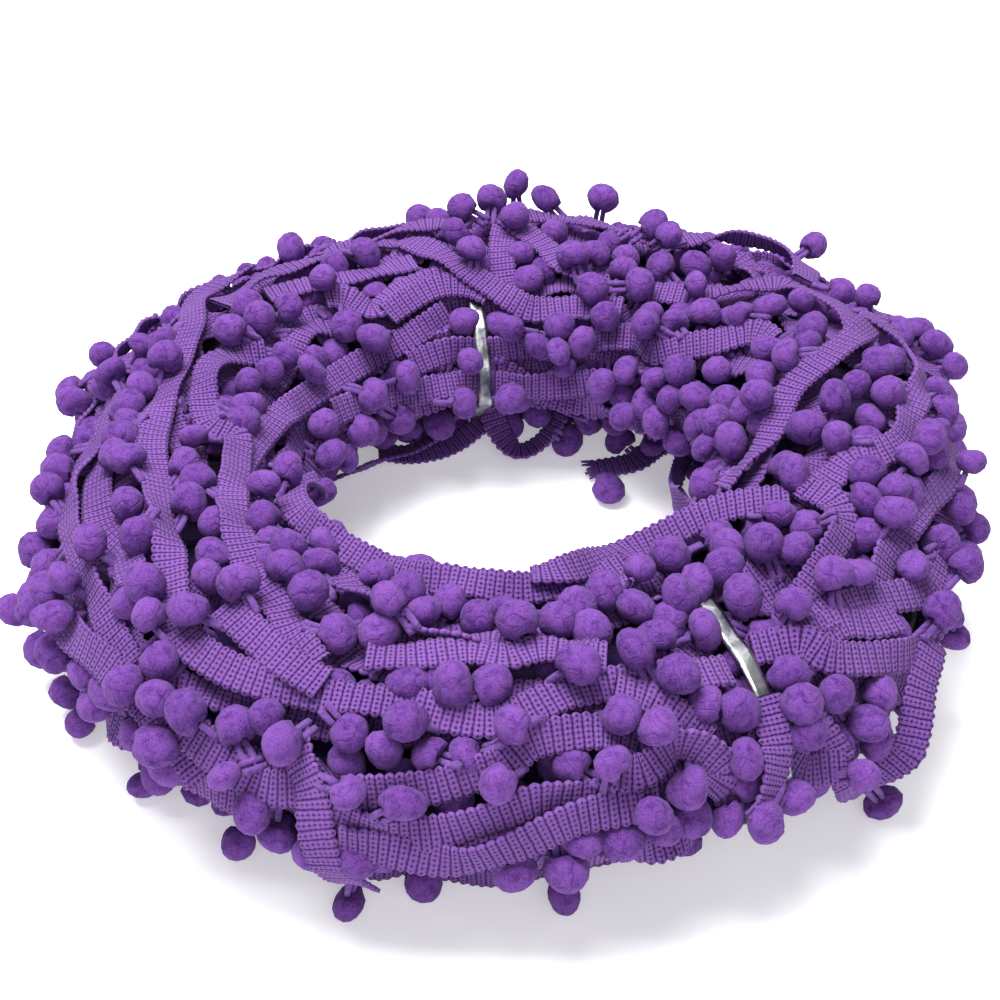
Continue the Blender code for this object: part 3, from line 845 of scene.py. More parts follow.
@dataclass
class Fringe:
    """Places the pompoms along the tapes, apart from each other and from the tape.

    A pull is how strongly a pompom is held at its home, and 1 for one that doesn't move.
    """

    form: HankForm
    trim: Trim
    rounds: int = 70
    end_margin: float = 4 * MM
    fall: float = 0.75
    lie: float = 0.8 * MM
    under_lie: float = -1.2 * MM
    rim_lie: float = -4.0 * MM
    seen_sink: float = 0.45
    seen_lift: tuple[float, float] = (2.5 * MM, 8.0 * MM)
    seen_stem: float = 0.75
    bare_areas: tuple[tuple[float, float, float, float], ...] = ((-118, -46, -90, -6), (-176, -12, 112, 166))
    rim_area: tuple[float, float, float, float] = (24, 180, 30, 84)
    loose_pull: float = 0.05
    rim_pull: float = 0.6
    seen_pull: float = 0.22
    bead_every: int = 4
    bead_share: float = 0.32
    bead_clear: float = 1.5 * MM
    bead_push: float = 0.16
    ball_apart: float = 0.95
    ball_push: float = 0.5
    longest_stem: float = 1.12
    stem_push: float = 0.6
    pompoms: list[Pompom] = field(default_factory=list)

    def hang(self, tape: LaidTape) -> None:
        """Hangs a tape's pompoms from its fringe edge.

        Args:
            tape: The laid tape.
        """
        half = self.trim.tape_width / 2
        zone = tape.run.zone
        if isinstance(tape.run, FreeRun):
            edges = np.concatenate([tape.points - tape.across * half, tape.points + tape.across * half])
            for place in tape.run.pompoms:
                home = self.form.from_centre(place)
                nearest = int(np.argmin(np.linalg.norm(edges - home, axis=1)))
                self.add(edges[nearest], home, tape.along[nearest % len(tape.points)], zone, 1.0)
            return
        if tape.run.first_ball_mm is None:
            return
        lie = self.under_lie if zone is Zone.UNDER else self.lie
        first, last = tape.run.first_ball_mm * MM, tape.length - self.end_margin
        for mark in np.arange(first, last, self.trim.ball_pitch):
            i = int(np.searchsorted(tape.distance, mark))
            side = self.fringe_side(tape, i)
            anchor = tape.points[i] + side * half
            home, around, section = self.settled(anchor + side * self.trim.reach, lie)
            if self.is_in(self.rim_area, around, section):
                home, _, _ = self.settled(home, self.rim_lie)
                self.add(anchor, home, tape.along[i], zone, self.rim_pull)
            elif not any(self.is_in(area, around, section) for area in self.bare_areas):
                self.add(anchor, home, tape.along[i], zone, self.loose_pull)

    @staticmethod
    def is_in(area: tuple[float, float, float, float], around: float, section: float) -> bool:
        """Whether a place is within an area's least and most around and section."""
        return area[0] < around < area[1] and area[2] < section < area[3]

    def fringe_side(self, tape: LaidTape, i: int) -> np.ndarray:
        """The direction from a tape's middle to its fringe edge.

        Args:
            tape: The laid tape.
            i: The sample along it.

        Returns:
            The unit direction.
        """
        point, across = tape.points[i], tape.across[i]
        off = point[:2] - np.array(self.form.centre)
        around = np.degrees(np.arctan2(off[1], off[0]))
        middle = self.form.measure(np.array([around]), "radius")[0]
        height = self.form.measure(np.array([around]), "height")[0] / 2
        out = np.append(off / max(np.linalg.norm(off), 1e-6), 0.0)
        up = np.array([0.0, 0.0, 1.0])
        across_ring = (np.linalg.norm(off) - middle) * out + (point[2] - height) * up
        towards_eye = up * float(across_ring @ out) - out * across_ring[2]
        sign = 1.0 if float(across @ towards_eye) > 0 else -1.0
        return across * sign * tape.run.fringe.value

    def settled(self, home: np.ndarray, lie: float) -> tuple[np.ndarray, float, float]:
        """The home drawn towards the hank's surface, as a pompom falls back on it.

        Args:
            home: Where the pompom would be, straight out from its tape.
            lie: The lift of a pompom's middle that lies on the hank.

        Returns:
            The place, and the home's around and section.
        """
        off = home[:2] - np.array(self.form.centre)
        around = np.array([np.degrees(np.arctan2(off[1], off[0]))])
        middle = self.form.measure(around, "radius")[0]
        half_height = (self.form.measure(around, "height")[0] - self.form.inset) / 2
        half_width = self.form.measure(around, "half_width")[0] - self.form.inset
        section = np.degrees(np.arctan2((home[2] - half_height) / half_height,
                                        (np.linalg.norm(off) - middle) / half_width))
        on_hank = self.form.point(around, np.array([section]), np.array([lie]))[0]
        return (1 - self.fall) * home + self.fall * on_hank, float(around[0]), float(section)

    def add(self, anchor: np.ndarray, home: np.ndarray, along: np.ndarray, zone: Zone, pull: float) -> None:
        """Keeps one pompom, no lower than the floor lets it lie.

        Args:
            anchor: Where its stem leaves the tape.
            home: Its middle's place.
            along: The tape's direction there.
            zone: The zone that it belongs to.
            pull: How strongly it is held at its home.
        """
        home = np.array(home)
        home[2] = max(home[2], self.trim.ball_diameter / 2)
        self.pompoms.append(Pompom(anchor, home, along, zone, pull))

    def add_seen(self, tapes: list[LaidTape], stack: LiftMap) -> None:
        """Adds the pompoms whose places are known, each on a stem from the nearest tape edge.

        Args:
            tapes: The laid tapes.
            stack: How high the tapes lie.
        """
        half = self.trim.tape_width / 2
        sides = [tape.points + tape.across * half * side for tape in tapes for side in (-1, 1)]
        edges = np.concatenate(sides)
        alongs = np.concatenate([tape.along for tape in tapes for _ in (-1, 1)])
        places = [(around, section, None) for around, section in SEEN_POMPOMS]
        places += [(stray.around, stray.section, stray.lift) for stray in STRAYS]
        for around, section, lift in places:
            a, s = np.array([float(around)]), np.array([float(section)])
            pull = 1.0
            if lift is None:
                above = stack.highest(a, s)[0] + self.trim.ball_diameter * self.seen_sink
                lift = float(np.clip(above, *self.seen_lift))
                pull = self.seen_pull
            home = self.form.point(a, s, np.array([lift]))[0]
            home[2] = max(home[2], self.trim.ball_diameter / 2)
            off = np.abs(np.linalg.norm(edges - home, axis=1) - self.seen_stem * self.trim.reach)
            nearest = int(np.argmin(off))
            self.add(edges[nearest], home, alongs[nearest], zone_at(around), pull)

    def settle(self, tapes: list[LaidTape], ties: list[np.ndarray]) -> None:
        """Pushes the pompoms apart, off the tapes and off the ties, while their stems hold them.

        Args:
            tapes: The laid tapes.
            ties: The ties' middle lines.
        """
        beads = []
        for tape in tapes:
            for offset in (-self.bead_share, 0.0, self.bead_share):
                aside = tape.across[::self.bead_every] * offset * self.trim.tape_width
                beads.append(tape.points[::self.bead_every] + aside)
        tree = self.tree(np.concatenate(beads + ties))
        places = [Vector(pompom.middle) for pompom in self.pompoms]
        homes = [place.copy() for place in places]
        anchors = [Vector(pompom.anchor) for pompom in self.pompoms]
        longest = self.trim.reach * self.longest_stem
        loose = [i for i, pompom in enumerate(self.pompoms) if pompom.pull != 1.0]
        for _ in range(self.rounds):
            balls = self.tree(places)
            moves = [self.move(i, places[i], balls, tree) for i in loose]
            for i, move in zip(loose, moves):
                place = places[i]
                place += move + (homes[i] - place) * self.pompoms[i].pull
                stem = place - anchors[i]
                if stem.length > longest:
                    place -= stem.normalized() * (stem.length - longest) * self.stem_push
                place.z = max(place.z, self.trim.ball_diameter / 2)
        for pompom, place in zip(self.pompoms, places):
            pompom.middle = np.array(place)

    @staticmethod
    def tree(points: list) -> KDTree:
        """A search tree of points.

        Args:
            points: The points.

        Returns:
            The tree.
        """
        made = KDTree(len(points))
        for i, point in enumerate(points):
            made.insert(point, i)
        made.balance()
        return made

    def move(self, i: int, place: Vector, balls: KDTree, beads: KDTree) -> Vector:
        """How far a pompom's neighbours and the tapes push it in one round.

        Args:
            i: The pompom's number.
            place: Its middle.
            balls: All the pompoms.
            beads: Points along the tapes and ties.

        Returns:
            The move.
        """
        move = Vector()
        apart = self.ball_apart * self.trim.ball_diameter
        clear = self.trim.ball_diameter / 2 + self.bead_clear
        for other, j, distance in balls.find_range(place, apart):
            if j != i and distance > 1e-7:
                move += (place - other) / distance * (apart - distance) * self.ball_push
        for bead, _, distance in beads.find_range(place, clear):
            if distance > 1e-7:
                move += (place - bead) / distance * (clear - distance) * self.bead_push
        return move


FRONT_FROM, RIGHT_FROM, BACK_AFTER, LEFT_FROM = -125, -60, 25, 160


def zone_at(around: float) -> Zone:
    """The zone of the hank at this angle.

    Args:
        around: The angle about the vertical axis, in degrees.

    Returns:
        The zone.
    """
    turned = (around + 180) % 360 - 180
    if turned > BACK_AFTER:
        return Zone.BACK if turned < LEFT_FROM else Zone.LEFT
    if turned < FRONT_FROM:
        return Zone.LEFT
    return Zone.FRONT if turned < RIGHT_FROM else Zone.RIGHT


@dataclass(frozen=True)
class TapeFinish:
    """The woven tape's colours, linear."""

    thread: Colour = (0.198, 0.083, 0.334)
    # shade: the painted shade of the weave's pits and valleys, and also the colour of its fibre speckle and
    # uneven dye.
    shade: Colour = (0.018, 0.002, 0.064)
    roughness: float = 0.85
    sheen: float = 0.05
    pit_rows: float = 3.5
    relief: float = 0.45 * MM
    bump: float = 1.0


@dataclass(frozen=True)
class FeltFinish:
    """The pompoms' felted yarn, linear colours."""

    name: str = "felted_wool"
    wool: Colour = (0.196, 0.071, 0.352)
    # shade: the darker wool of the nap, the lumps and the tone, and the painted shade along the folds.
    shade: Colour = (0.032, 0.005, 0.098)
    roughness: float = 0.95
    sheen: float = 0.06
    nap: float = 2600.0
    relief: float = 0.5 * MM
    bump: float = 0.8


@dataclass(frozen=True)
class YarnFinish(FeltFinish):
    """The twisted yarn of stems and cut ends."""

    name: str = "spun_yarn"
    wool: Colour = (0.190, 0.078, 0.345)
    shade: Colour = (0.040, 0.010, 0.110)
    roughness: float = 0.85
    sheen: float = 0.1
    nap: float = 3400.0


@dataclass(frozen=True)
class CoreShade(FeltFinish):
    """Painted deep shade: the near-black colours of the wound core between the turns."""

    name: str = "deep_shade"
    # Near-black colours of painted shade.
    wool: Colour = (0.016, 0.005, 0.045)
    shade: Colour = (0.006, 0.002, 0.016)
    sheen: float = 0.1
    nap: float = 1400.0


@dataclass(frozen=True)
class WireFinish:
    """The flat silver wire of the ties."""

    metal: Colour = (0.47, 0.48, 0.50)
    dull: Colour = (0.17, 0.18, 0.20)
    roughness: float = 0.34
    patch_scale: float = 210
    patch_range: tuple[float, float] = (0.42, 0.66)
    crinkle_scale: float = 520
    relief: float = 0.5 * MM
    bump: float = 0.35


class NodeBench:
    """Makes nodes in one tree and joins them."""

    def __init__(self, tree: bpy.types.NodeTree) -> None:
        """Keeps the tree that the nodes go in."""
        self.tree = tree

    def node(self, kind: str, **values: object) -> bpy.types.Node:
        """A node of a kind.

        Args:
            kind: Its type's name.
            values: Its own settings.

        Returns:
            The node.
        """
        made = self.tree.nodes.new(kind)
        for name, value in values.items():
            setattr(made, name, value)
        return made

    def put(self, value: object, socket: Socket) -> None:
        """Feeds a socket.

        Args:
            value: Another socket, or a plain value.
            socket: The socket to feed.
        """
        if isinstance(value, Socket):
            self.tree.links.new(value, socket)
        else:
            socket.default_value = value

    def maths(self, operation: str, first: object, second: object = 0.0) -> Socket:
        """A Math node's result.

        Args:
            operation: The node's operation.
            first: A socket or a number.
            second: A socket or a number.

        Returns:
            The result's socket.
        """
        made = self.node("ShaderNodeMath", operation=operation)
        self.put(first, made.inputs[0])
        self.put(second, made.inputs[1])
        return made.outputs[0]

    def weighted(self, *parts: tuple[Socket, float]) -> Socket:
        """The sum of sockets, each times its own weight.

        Args:
            parts: Pairs of a socket and its weight.

        Returns:
            The sum's socket.
        """
        total = self.maths("MULTIPLY", *parts[0])
        for part in parts[1:]:
            total = self.maths("ADD", total, self.maths("MULTIPLY", *part))
        return total

    def noise(self, vector: Socket, scale: object, detail: float, roughness: float = 0.5) -> Socket:
        """A noise texture's value.

        Args:
            vector: The coordinates.
            scale: The noise's scale, a socket or a number.
            detail: Its detail.
            roughness: The strength of its detail.

        Returns:
            The value's socket.
        """
        made = self.node("ShaderNodeTexNoise")
        names = ("Vector", "Scale", "Detail", "Roughness")
        for name, value in zip(names, (vector, scale, detail, roughness)):
            self.put(value, made.inputs[name])
        return made.outputs["Fac"]

    def from_middle(self, value: Socket) -> Socket:
        """How far a value is from the middle of its own unit: 0 at the middle and 1 at the ends."""
        off = self.maths("SUBTRACT", self.maths("FRACT", value), 0.5)
        return self.maths("MULTIPLY", self.maths("ABSOLUTE", off), 2.0)

    def ramp(self, value: Socket, low: float, high: float) -> Socket:
        """A value stretched smoothly.

        Args:
            value: The value.
            low: What becomes 0.
            high: What becomes 1.

        Returns:
            The stretched value's socket.
        """
        made = self.node("ShaderNodeMapRange", interpolation_type="SMOOTHSTEP")
        for name, number in (("Value", value), ("From Min", low), ("From Max", high)):
            self.put(number, made.inputs[name])
        return made.outputs["Result"]

    def blend(self, share: Socket, first: object, second: object) -> Socket:
        """A colour mixed from two.

        Args:
            share: The second colour's share.
            first: A socket or a colour.
            second: A socket or a colour.

        Returns:
            The colour's socket.
        """
        made = self.node("ShaderNodeMix", data_type="RGBA")
        self.put(share, made.inputs["Factor"])
        for name, value in (("A", first), ("B", second)):
            socket = next(s for s in made.inputs if s.name == name and s.type == "RGBA")
            self.put(value if isinstance(value, Socket) else (*value, 1.0), socket)
        return next(s for s in made.outputs if s.type == "RGBA")


def shader_group(name: str, inputs: tuple[tuple[str, str], ...], draw: Callable) -> bpy.types.NodeTree:
    """A node group that gives a colour and a height, built the first time that it is asked for.

    Args:
        name: Its name.
        inputs: The names of its inputs, each with its socket's type.
        draw: Builds its nodes, given the bench and the group's input and output nodes.

    Returns:
        The group.
    """
    found = bpy.data.node_groups.get(name)
    if found:
        return found
    tree = bpy.data.node_groups.new(name, "ShaderNodeTree")
    outputs = (("Colour", "NodeSocketColor"), ("Height", "NodeSocketFloat"))
    for way, sockets in (("INPUT", inputs), ("OUTPUT", outputs)):
        for label, kind in sockets:
            tree.interface.new_socket(label, in_out=way, socket_type=kind)
    bench = NodeBench(tree)
    draw(bench, bench.node("NodeGroupInput").outputs, bench.node("NodeGroupOutput").inputs)
    return tree


class Weave:
    """The shader group for the tape's ribs, pits and uneven dye, on the tape's own UV map, with painted shade
    in the pits and in the valleys between ribs.
    """

    NAME = "woven_ribs"
    INPUTS = (("Thread", "NodeSocketColor"), ("Shade", "NodeSocketColor"), ("Pit Rows", "NodeSocketFloat"))
    UNEVEN_SCALE, FIBRE_SCALE, DYE_SCALE = 900, 5200, 45
    BAR_EDGE, THREAD_EDGE, ROW_EDGE = (0.60, 1.0), (0.40, 0.95), (0.30, 0.90)
    DASH_EDGE, DYE_RANGE = (0.35, 0.85), (0.3, 0.75)
    # Weights of the painted shade in the pits, the dashes, the valleys between ribs, the rows and the
    # threads.
    PIT, DASH, BAR, ROW, THREAD = 0.52, 0.44, 0.06, 0.20, 0.17
    SWAY, SPECKLE, DYE, FIBRE_RISE = 0.22, 0.45, 0.16, 0.25
    MEAN_FIBRE = 0.45

    @classmethod
    def group(cls) -> bpy.types.NodeTree:
        """The node group."""
        return shader_group(cls.NAME, cls.INPUTS, cls.draw)

    @classmethod
    def draw(cls, bench: NodeBench, given: Sockets, out: Sockets) -> None:
        """Draws pits between threads and rows, and dashes along the valleys between ribs, all darkened as
        painted shade.

        Args:
            bench: The group's bench.
            given: The group's inputs.
            out: The group's outputs.
        """
        coordinates = bench.node("ShaderNodeTexCoord").outputs
        split = bench.node("ShaderNodeSeparateXYZ")
        bench.put(coordinates["UV"], split.inputs[0])
        uneven = bench.maths("SUBTRACT", bench.noise(coordinates["Object"], cls.UNEVEN_SCALE, 2), 0.5)
        nudge = bench.maths("MULTIPLY", uneven, cls.SWAY)
        along = bench.maths("ADD", split.outputs["X"], nudge)
        across = bench.maths("MULTIPLY", split.outputs["Y"], given["Pit Rows"])
        threads = bench.from_middle(bench.maths("MULTIPLY", along, 2.0))
        between_bars = bench.ramp(bench.from_middle(along), *cls.BAR_EDGE)
        between_threads = bench.ramp(threads, *cls.THREAD_EDGE)
        rows = bench.from_middle(bench.maths("ADD", across, nudge))
        between_rows = bench.ramp(rows, *cls.ROW_EDGE)
        on_rows = bench.maths("SUBTRACT", 1.0, bench.ramp(rows, *cls.DASH_EDGE))
        dash = bench.maths("MULTIPLY", between_bars, on_rows)
        pit = bench.maths("MULTIPLY", between_threads, between_rows)
        # Painted shade: the pits, dashes and valleys darken towards the Shade colour.
        lines = bench.weighted(
            (pit, cls.PIT), (dash, cls.DASH), (between_bars, cls.BAR), (between_rows, cls.ROW),
            (between_threads, cls.THREAD),
        )
        fibres = bench.noise(coordinates["Object"], cls.FIBRE_SCALE, 3)
        speckle = bench.maths("SUBTRACT", fibres, cls.MEAN_FIBRE)
        dye = bench.ramp(bench.noise(coordinates["Object"], cls.DYE_SCALE, 2), *cls.DYE_RANGE)
        dark = bench.maths("ADD", lines, bench.weighted((speckle, cls.SPECKLE), (dye, cls.DYE)))
        dark = bench.maths("MINIMUM", bench.maths("MAXIMUM", dark, 0.0), 1.0)
        bench.put(bench.blend(dark, given["Thread"], given["Shade"]), out["Colour"])
        low = bench.maths("ADD", lines, bench.maths("MULTIPLY", fibres, cls.FIBRE_RISE))
        bench.put(bench.maths("SUBTRACT", 1.0, low), out["Height"])


class Felt:
    """The shader group for felted wool, in a fine nap over soft lumps and folds, with painted shade along the
    folds.
    """

    NAME = "felted_nap"
    INPUTS = (("Wool", "NodeSocketColor"), ("Shade", "NodeSocketColor"), ("Nap Scale", "NodeSocketFloat"))
    LUMP_SCALE, FOLD_SCALE = 420, 190
    NAP_RANGE, LUMP_RANGE, FOLD_RANGE = (0.42, 0.70), (0.40, 0.75), (0.0, 0.045)
    NAP, LUMP, TONE, FOLD = 0.50, 0.35, 0.22, 0.16
    NAP_RISE, LUMP_RISE, FOLD_RISE = -0.8, -1.1, -0.4

    @classmethod
    def group(cls) -> bpy.types.NodeTree:
        """The node group."""
        return shader_group(cls.NAME, cls.INPUTS, cls.draw)

    @classmethod
    def draw(cls, bench: NodeBench, given: Sockets, out: Sockets) -> None:
        """Draws the nap, the lumps and the folds, with painted shade along the folds, darker by each pompom's
        own tone.

        Args:
            bench: The group's bench.
            given: The group's inputs.
            out: The group's outputs.
        """
        place = bench.node("ShaderNodeTexCoord").outputs["Object"]
        fine = bench.noise(place, given["Nap Scale"], 4.0, 0.65)
        lumps = bench.noise(place, cls.LUMP_SCALE, 2)
        tone = bench.node("ShaderNodeAttribute", attribute_name="tone").outputs["Fac"]
        # The folds: thin lines of painted crease shade, also a small dip in height.
        off_fold = bench.maths("SUBTRACT", bench.noise(place, cls.FOLD_SCALE, 1), 0.5)
        off_fold = bench.maths("ABSOLUTE", off_fold)
        fold = bench.maths("SUBTRACT", 1.0, bench.ramp(off_fold, *cls.FOLD_RANGE))
        dark = bench.weighted(
            (bench.ramp(fine, *cls.NAP_RANGE), cls.NAP), (bench.ramp(lumps, *cls.LUMP_RANGE), cls.LUMP),
            (tone, cls.TONE), (fold, cls.FOLD),
        )
        dark = bench.maths("MINIMUM", dark, 1.0)
        bench.put(bench.blend(dark, given["Wool"], given["Shade"]), out["Colour"])
        rise = bench.weighted((fine, cls.NAP_RISE), (lumps, cls.LUMP_RISE), (fold, cls.FOLD_RISE))
        bench.put(rise, out["Height"])


SHEEN_ROUGHNESS = 0.5
CLOTH_SPECULAR = 0.1


def new_material(name: str, roughness: float, metallic: float = 0.0, sheen: float = 0.0) -> tuple:
    """A material with plain values set on its own shader.

    Args:
        name: Its name.
        roughness: Its roughness.
        metallic: How metallic it is.
        sheen: The weight of the soft sheen of fabric.

    Returns:
        The material, its bench and its shader.
    """
    material = bpy.data.materials.new(name)
    material.use_nodes = True
    shader = material.node_tree.nodes["Principled BSDF"]
    shader.inputs["Roughness"].default_value = roughness
    shader.inputs["Metallic"].default_value = metallic
    shader.inputs["Sheen Weight"].default_value = sheen
    shader.inputs["Sheen Roughness"].default_value = SHEEN_ROUGHNESS
    if not metallic:
        shader.inputs["Specular IOR Level"].default_value = CLOTH_SPECULAR
    return material, NodeBench(material.node_tree), shader


def put_bump(bench: NodeBench, shader: bpy.types.Node, height: Socket, depth: float, strength: float) -> None:
    """Feeds a height into the shader's normal.

    Args:
        bench: The material's bench.
        shader: Its shader.
        height: The height.
        depth: The bump's depth, in metres.
        strength: Its strength.
    """
    bump = bench.node("ShaderNodeBump")
    for name, value in (("Height", height), ("Distance", depth), ("Strength", strength)):
        bench.put(value, bump.inputs[name])
    bench.put(bump.outputs["Normal"], shader.inputs["Normal"])


def weave_material(finish: TapeFinish) -> bpy.types.Material:
    """The woven tape's material.

    Args:
        finish: Its colours and measures.

    Returns:
        The material.
    """
    material, bench, shader = new_material("woven_tape", finish.roughness, sheen=finish.sheen)
    group = bench.node("ShaderNodeGroup", node_tree=Weave.group())
    bench.put((*finish.thread, 1.0), group.inputs["Thread"])
    bench.put((*finish.shade, 1.0), group.inputs["Shade"])
    bench.put(finish.pit_rows, group.inputs["Pit Rows"])
    bench.put(group.outputs["Colour"], shader.inputs["Base Color"])
    put_bump(bench, shader, group.outputs["Height"], finish.relief, finish.bump)
    return material


def felt_material(finish: FeltFinish) -> bpy.types.Material:
    """A material of felted or spun wool.

    Args:
        finish: Its colours and measures.

    Returns:
        The material.
    """
    material, bench, shader = new_material(finish.name, finish.roughness, sheen=finish.sheen)
    group = bench.node("ShaderNodeGroup", node_tree=Felt.group())
    bench.put((*finish.wool, 1.0), group.inputs["Wool"])
    bench.put((*finish.shade, 1.0), group.inputs["Shade"])
    bench.put(finish.nap, group.inputs["Nap Scale"])
    bench.put(group.outputs["Colour"], shader.inputs["Base Color"])
    put_bump(bench, shader, group.outputs["Height"], finish.relief, finish.bump)
    return material


def wire_material(finish: WireFinish) -> bpy.types.Material:
    """The ties' crinkled silver wire.

    Args:
        finish: Its colours and measures.

    Returns:
        The material.
    """
    material, bench, shader = new_material("silver_wire", finish.roughness, metallic=1.0)
    place = bench.node("ShaderNodeTexCoord").outputs["Object"]
    # Darker patches at random over the metal.
    share = bench.ramp(bench.noise(place, finish.patch_scale, 3), *finish.patch_range)
    bench.put(bench.blend(share, finish.metal, finish.dull), shader.inputs["Base Color"])
    crinkle = bench.noise(place, finish.crinkle_scale, 2)
    put_bump(bench, shader, crinkle, finish.relief, finish.bump)
    return material


def mesh_object(name: str, points: np.ndarray, faces: list, material: bpy.types.Material) -> bpy.types.Object:
    """A smooth mesh object at the origin.

    Args:
        name: The piece's name.
        points: Its vertices.
        faces: Its faces, as rows of vertex numbers.
        material: Its material.

    Returns:
        The object.
    """
    mesh = bpy.data.meshes.new(name)
    points[:, 2] = np.maximum(points[:, 2], REST_GAP)
    mesh.from_pydata(points, [], faces)
    mesh.validate()
    mesh.shade_smooth()
    mesh.materials.append(material)
    made = bpy.data.objects.new(name, mesh)
    bpy.context.scene.collection.objects.link(made)
    return made


def put_tone(piece: bpy.types.Object, values: np.ndarray) -> None:
    """Gives each vertex of a felted piece its own tone, from 0 to 1."""
    tone = piece.data.attributes.new("tone", "FLOAT", "POINT")
    tone.data.foreach_set("value", values.astype(np.float32))


@dataclass
class TapeMaker:
    """Makes the woven tape's mesh: ribs across it, rounded scallops along both edges."""

    trim: Trim
    columns: tuple[float, ...] = (-1.0, -0.72, 0.0, 0.72, 1.0)
    crowns: tuple[float, ...] = (0.75, 1.0, 0.80, 1.0, 0.75)
    valley: float = 0.66
    scallop: float = 0.20

    def surface(self, tape: LaidTape) -> tuple[np.ndarray, np.ndarray, np.ndarray]:
        """A tape's vertices, faces and pattern coordinates.

        Args:
            tape: The laid tape.

        Returns:
            The vertices, the faces, and (rib number, place across) for each vertex.
        """
        count = len(tape.points)
        ribs = tape.distance / self.trim.rib_pitch
        if tape.is_closed:
            ribs = np.arange(count) / self.trim.rib_rows
        crest = np.abs(np.sin(np.pi * ribs))
        half_width = self.trim.tape_width / 2 * (1 - self.scallop / 2 + self.scallop * crest)
        half_thick = self.trim.tape_thickness / 2 * (self.valley + (1 - self.valley) * crest)
        rows, marks = [], []
        for side in (1, -1):
            for column, crown in list(zip(self.columns, self.crowns))[::side]:
                sideways = tape.across * (half_width * column)[:, None]
                rows.append(tape.points + sideways + tape.face * (side * half_thick * crown)[:, None])
                marks.append(np.stack([ribs, np.full(count, column)], axis=-1))
        around = len(rows)
        steps = count if tape.is_closed else count - 1
        start = np.arange(steps)[:, None] * around
        nxt = (np.arange(1, steps + 1) % count)[:, None] * around
        a = np.arange(around)[None, :]
        b = (a + 1) % around
        faces = np.stack([start + a, nxt + a, nxt + b, start + b], axis=-1).reshape(-1, 4)
        return np.stack(rows, axis=1).reshape(-1, 3), faces, np.stack(marks, axis=1).reshape(-1, 2)

    def make(self, name: str, tapes: list[LaidTape], material: bpy.types.Material) -> bpy.types.Object:
        """One mesh of several runs of tape.

        Args:
            name: The piece's name.
            tapes: The laid tapes.
            material: The weave.

        Returns:
            The object.
        """
        points, faces, places, offset = [], [], [], 0
        around = 2 * len(self.columns)
        for tape in tapes:
            made, quads, marks = self.surface(tape)
            faces.extend((quads + offset).tolist())
            if not tape.is_closed:
                faces.append(list(range(offset + around - 1, offset - 1, -1)))
                faces.append(list(range(offset + len(made) - around, offset + len(made))))
            points.append(made)
            places.append(marks)
            offset += len(made)
        piece = mesh_object(name, np.concatenate(points), faces, material)
        self.put_pattern(piece, np.concatenate(places), all(tape.is_closed for tape in tapes))
        return piece

    @staticmethod
    def put_pattern(piece: bpy.types.Object, places: np.ndarray, is_closed: bool) -> None:
        """Puts the pattern coordinates on the piece's UV map, without a jump where a run closes.

        Args:
            piece: The piece.
            places: The pattern coordinates of each vertex.
            is_closed: Whether all its runs are closed, and so all its faces have four corners.
        """
        mesh = piece.data
        corner = np.empty(len(mesh.loops), np.int32)
        mesh.loops.foreach_get("vertex_index", corner)
        values = places[corner]
        if is_closed:
            ribs = values.reshape(-1, 4, 2)[:, :, 0]
            jump = ribs.max(axis=1) - ribs.min(axis=1) > 2
            whole = np.ceil(ribs[jump].max(axis=1))[:, None]
            ribs[jump] += np.where(ribs[jump] < 1, whole, 0)
        mesh.uv_layers.new(name="weave").data.foreach_set("uv", values.astype(np.float32).ravel())


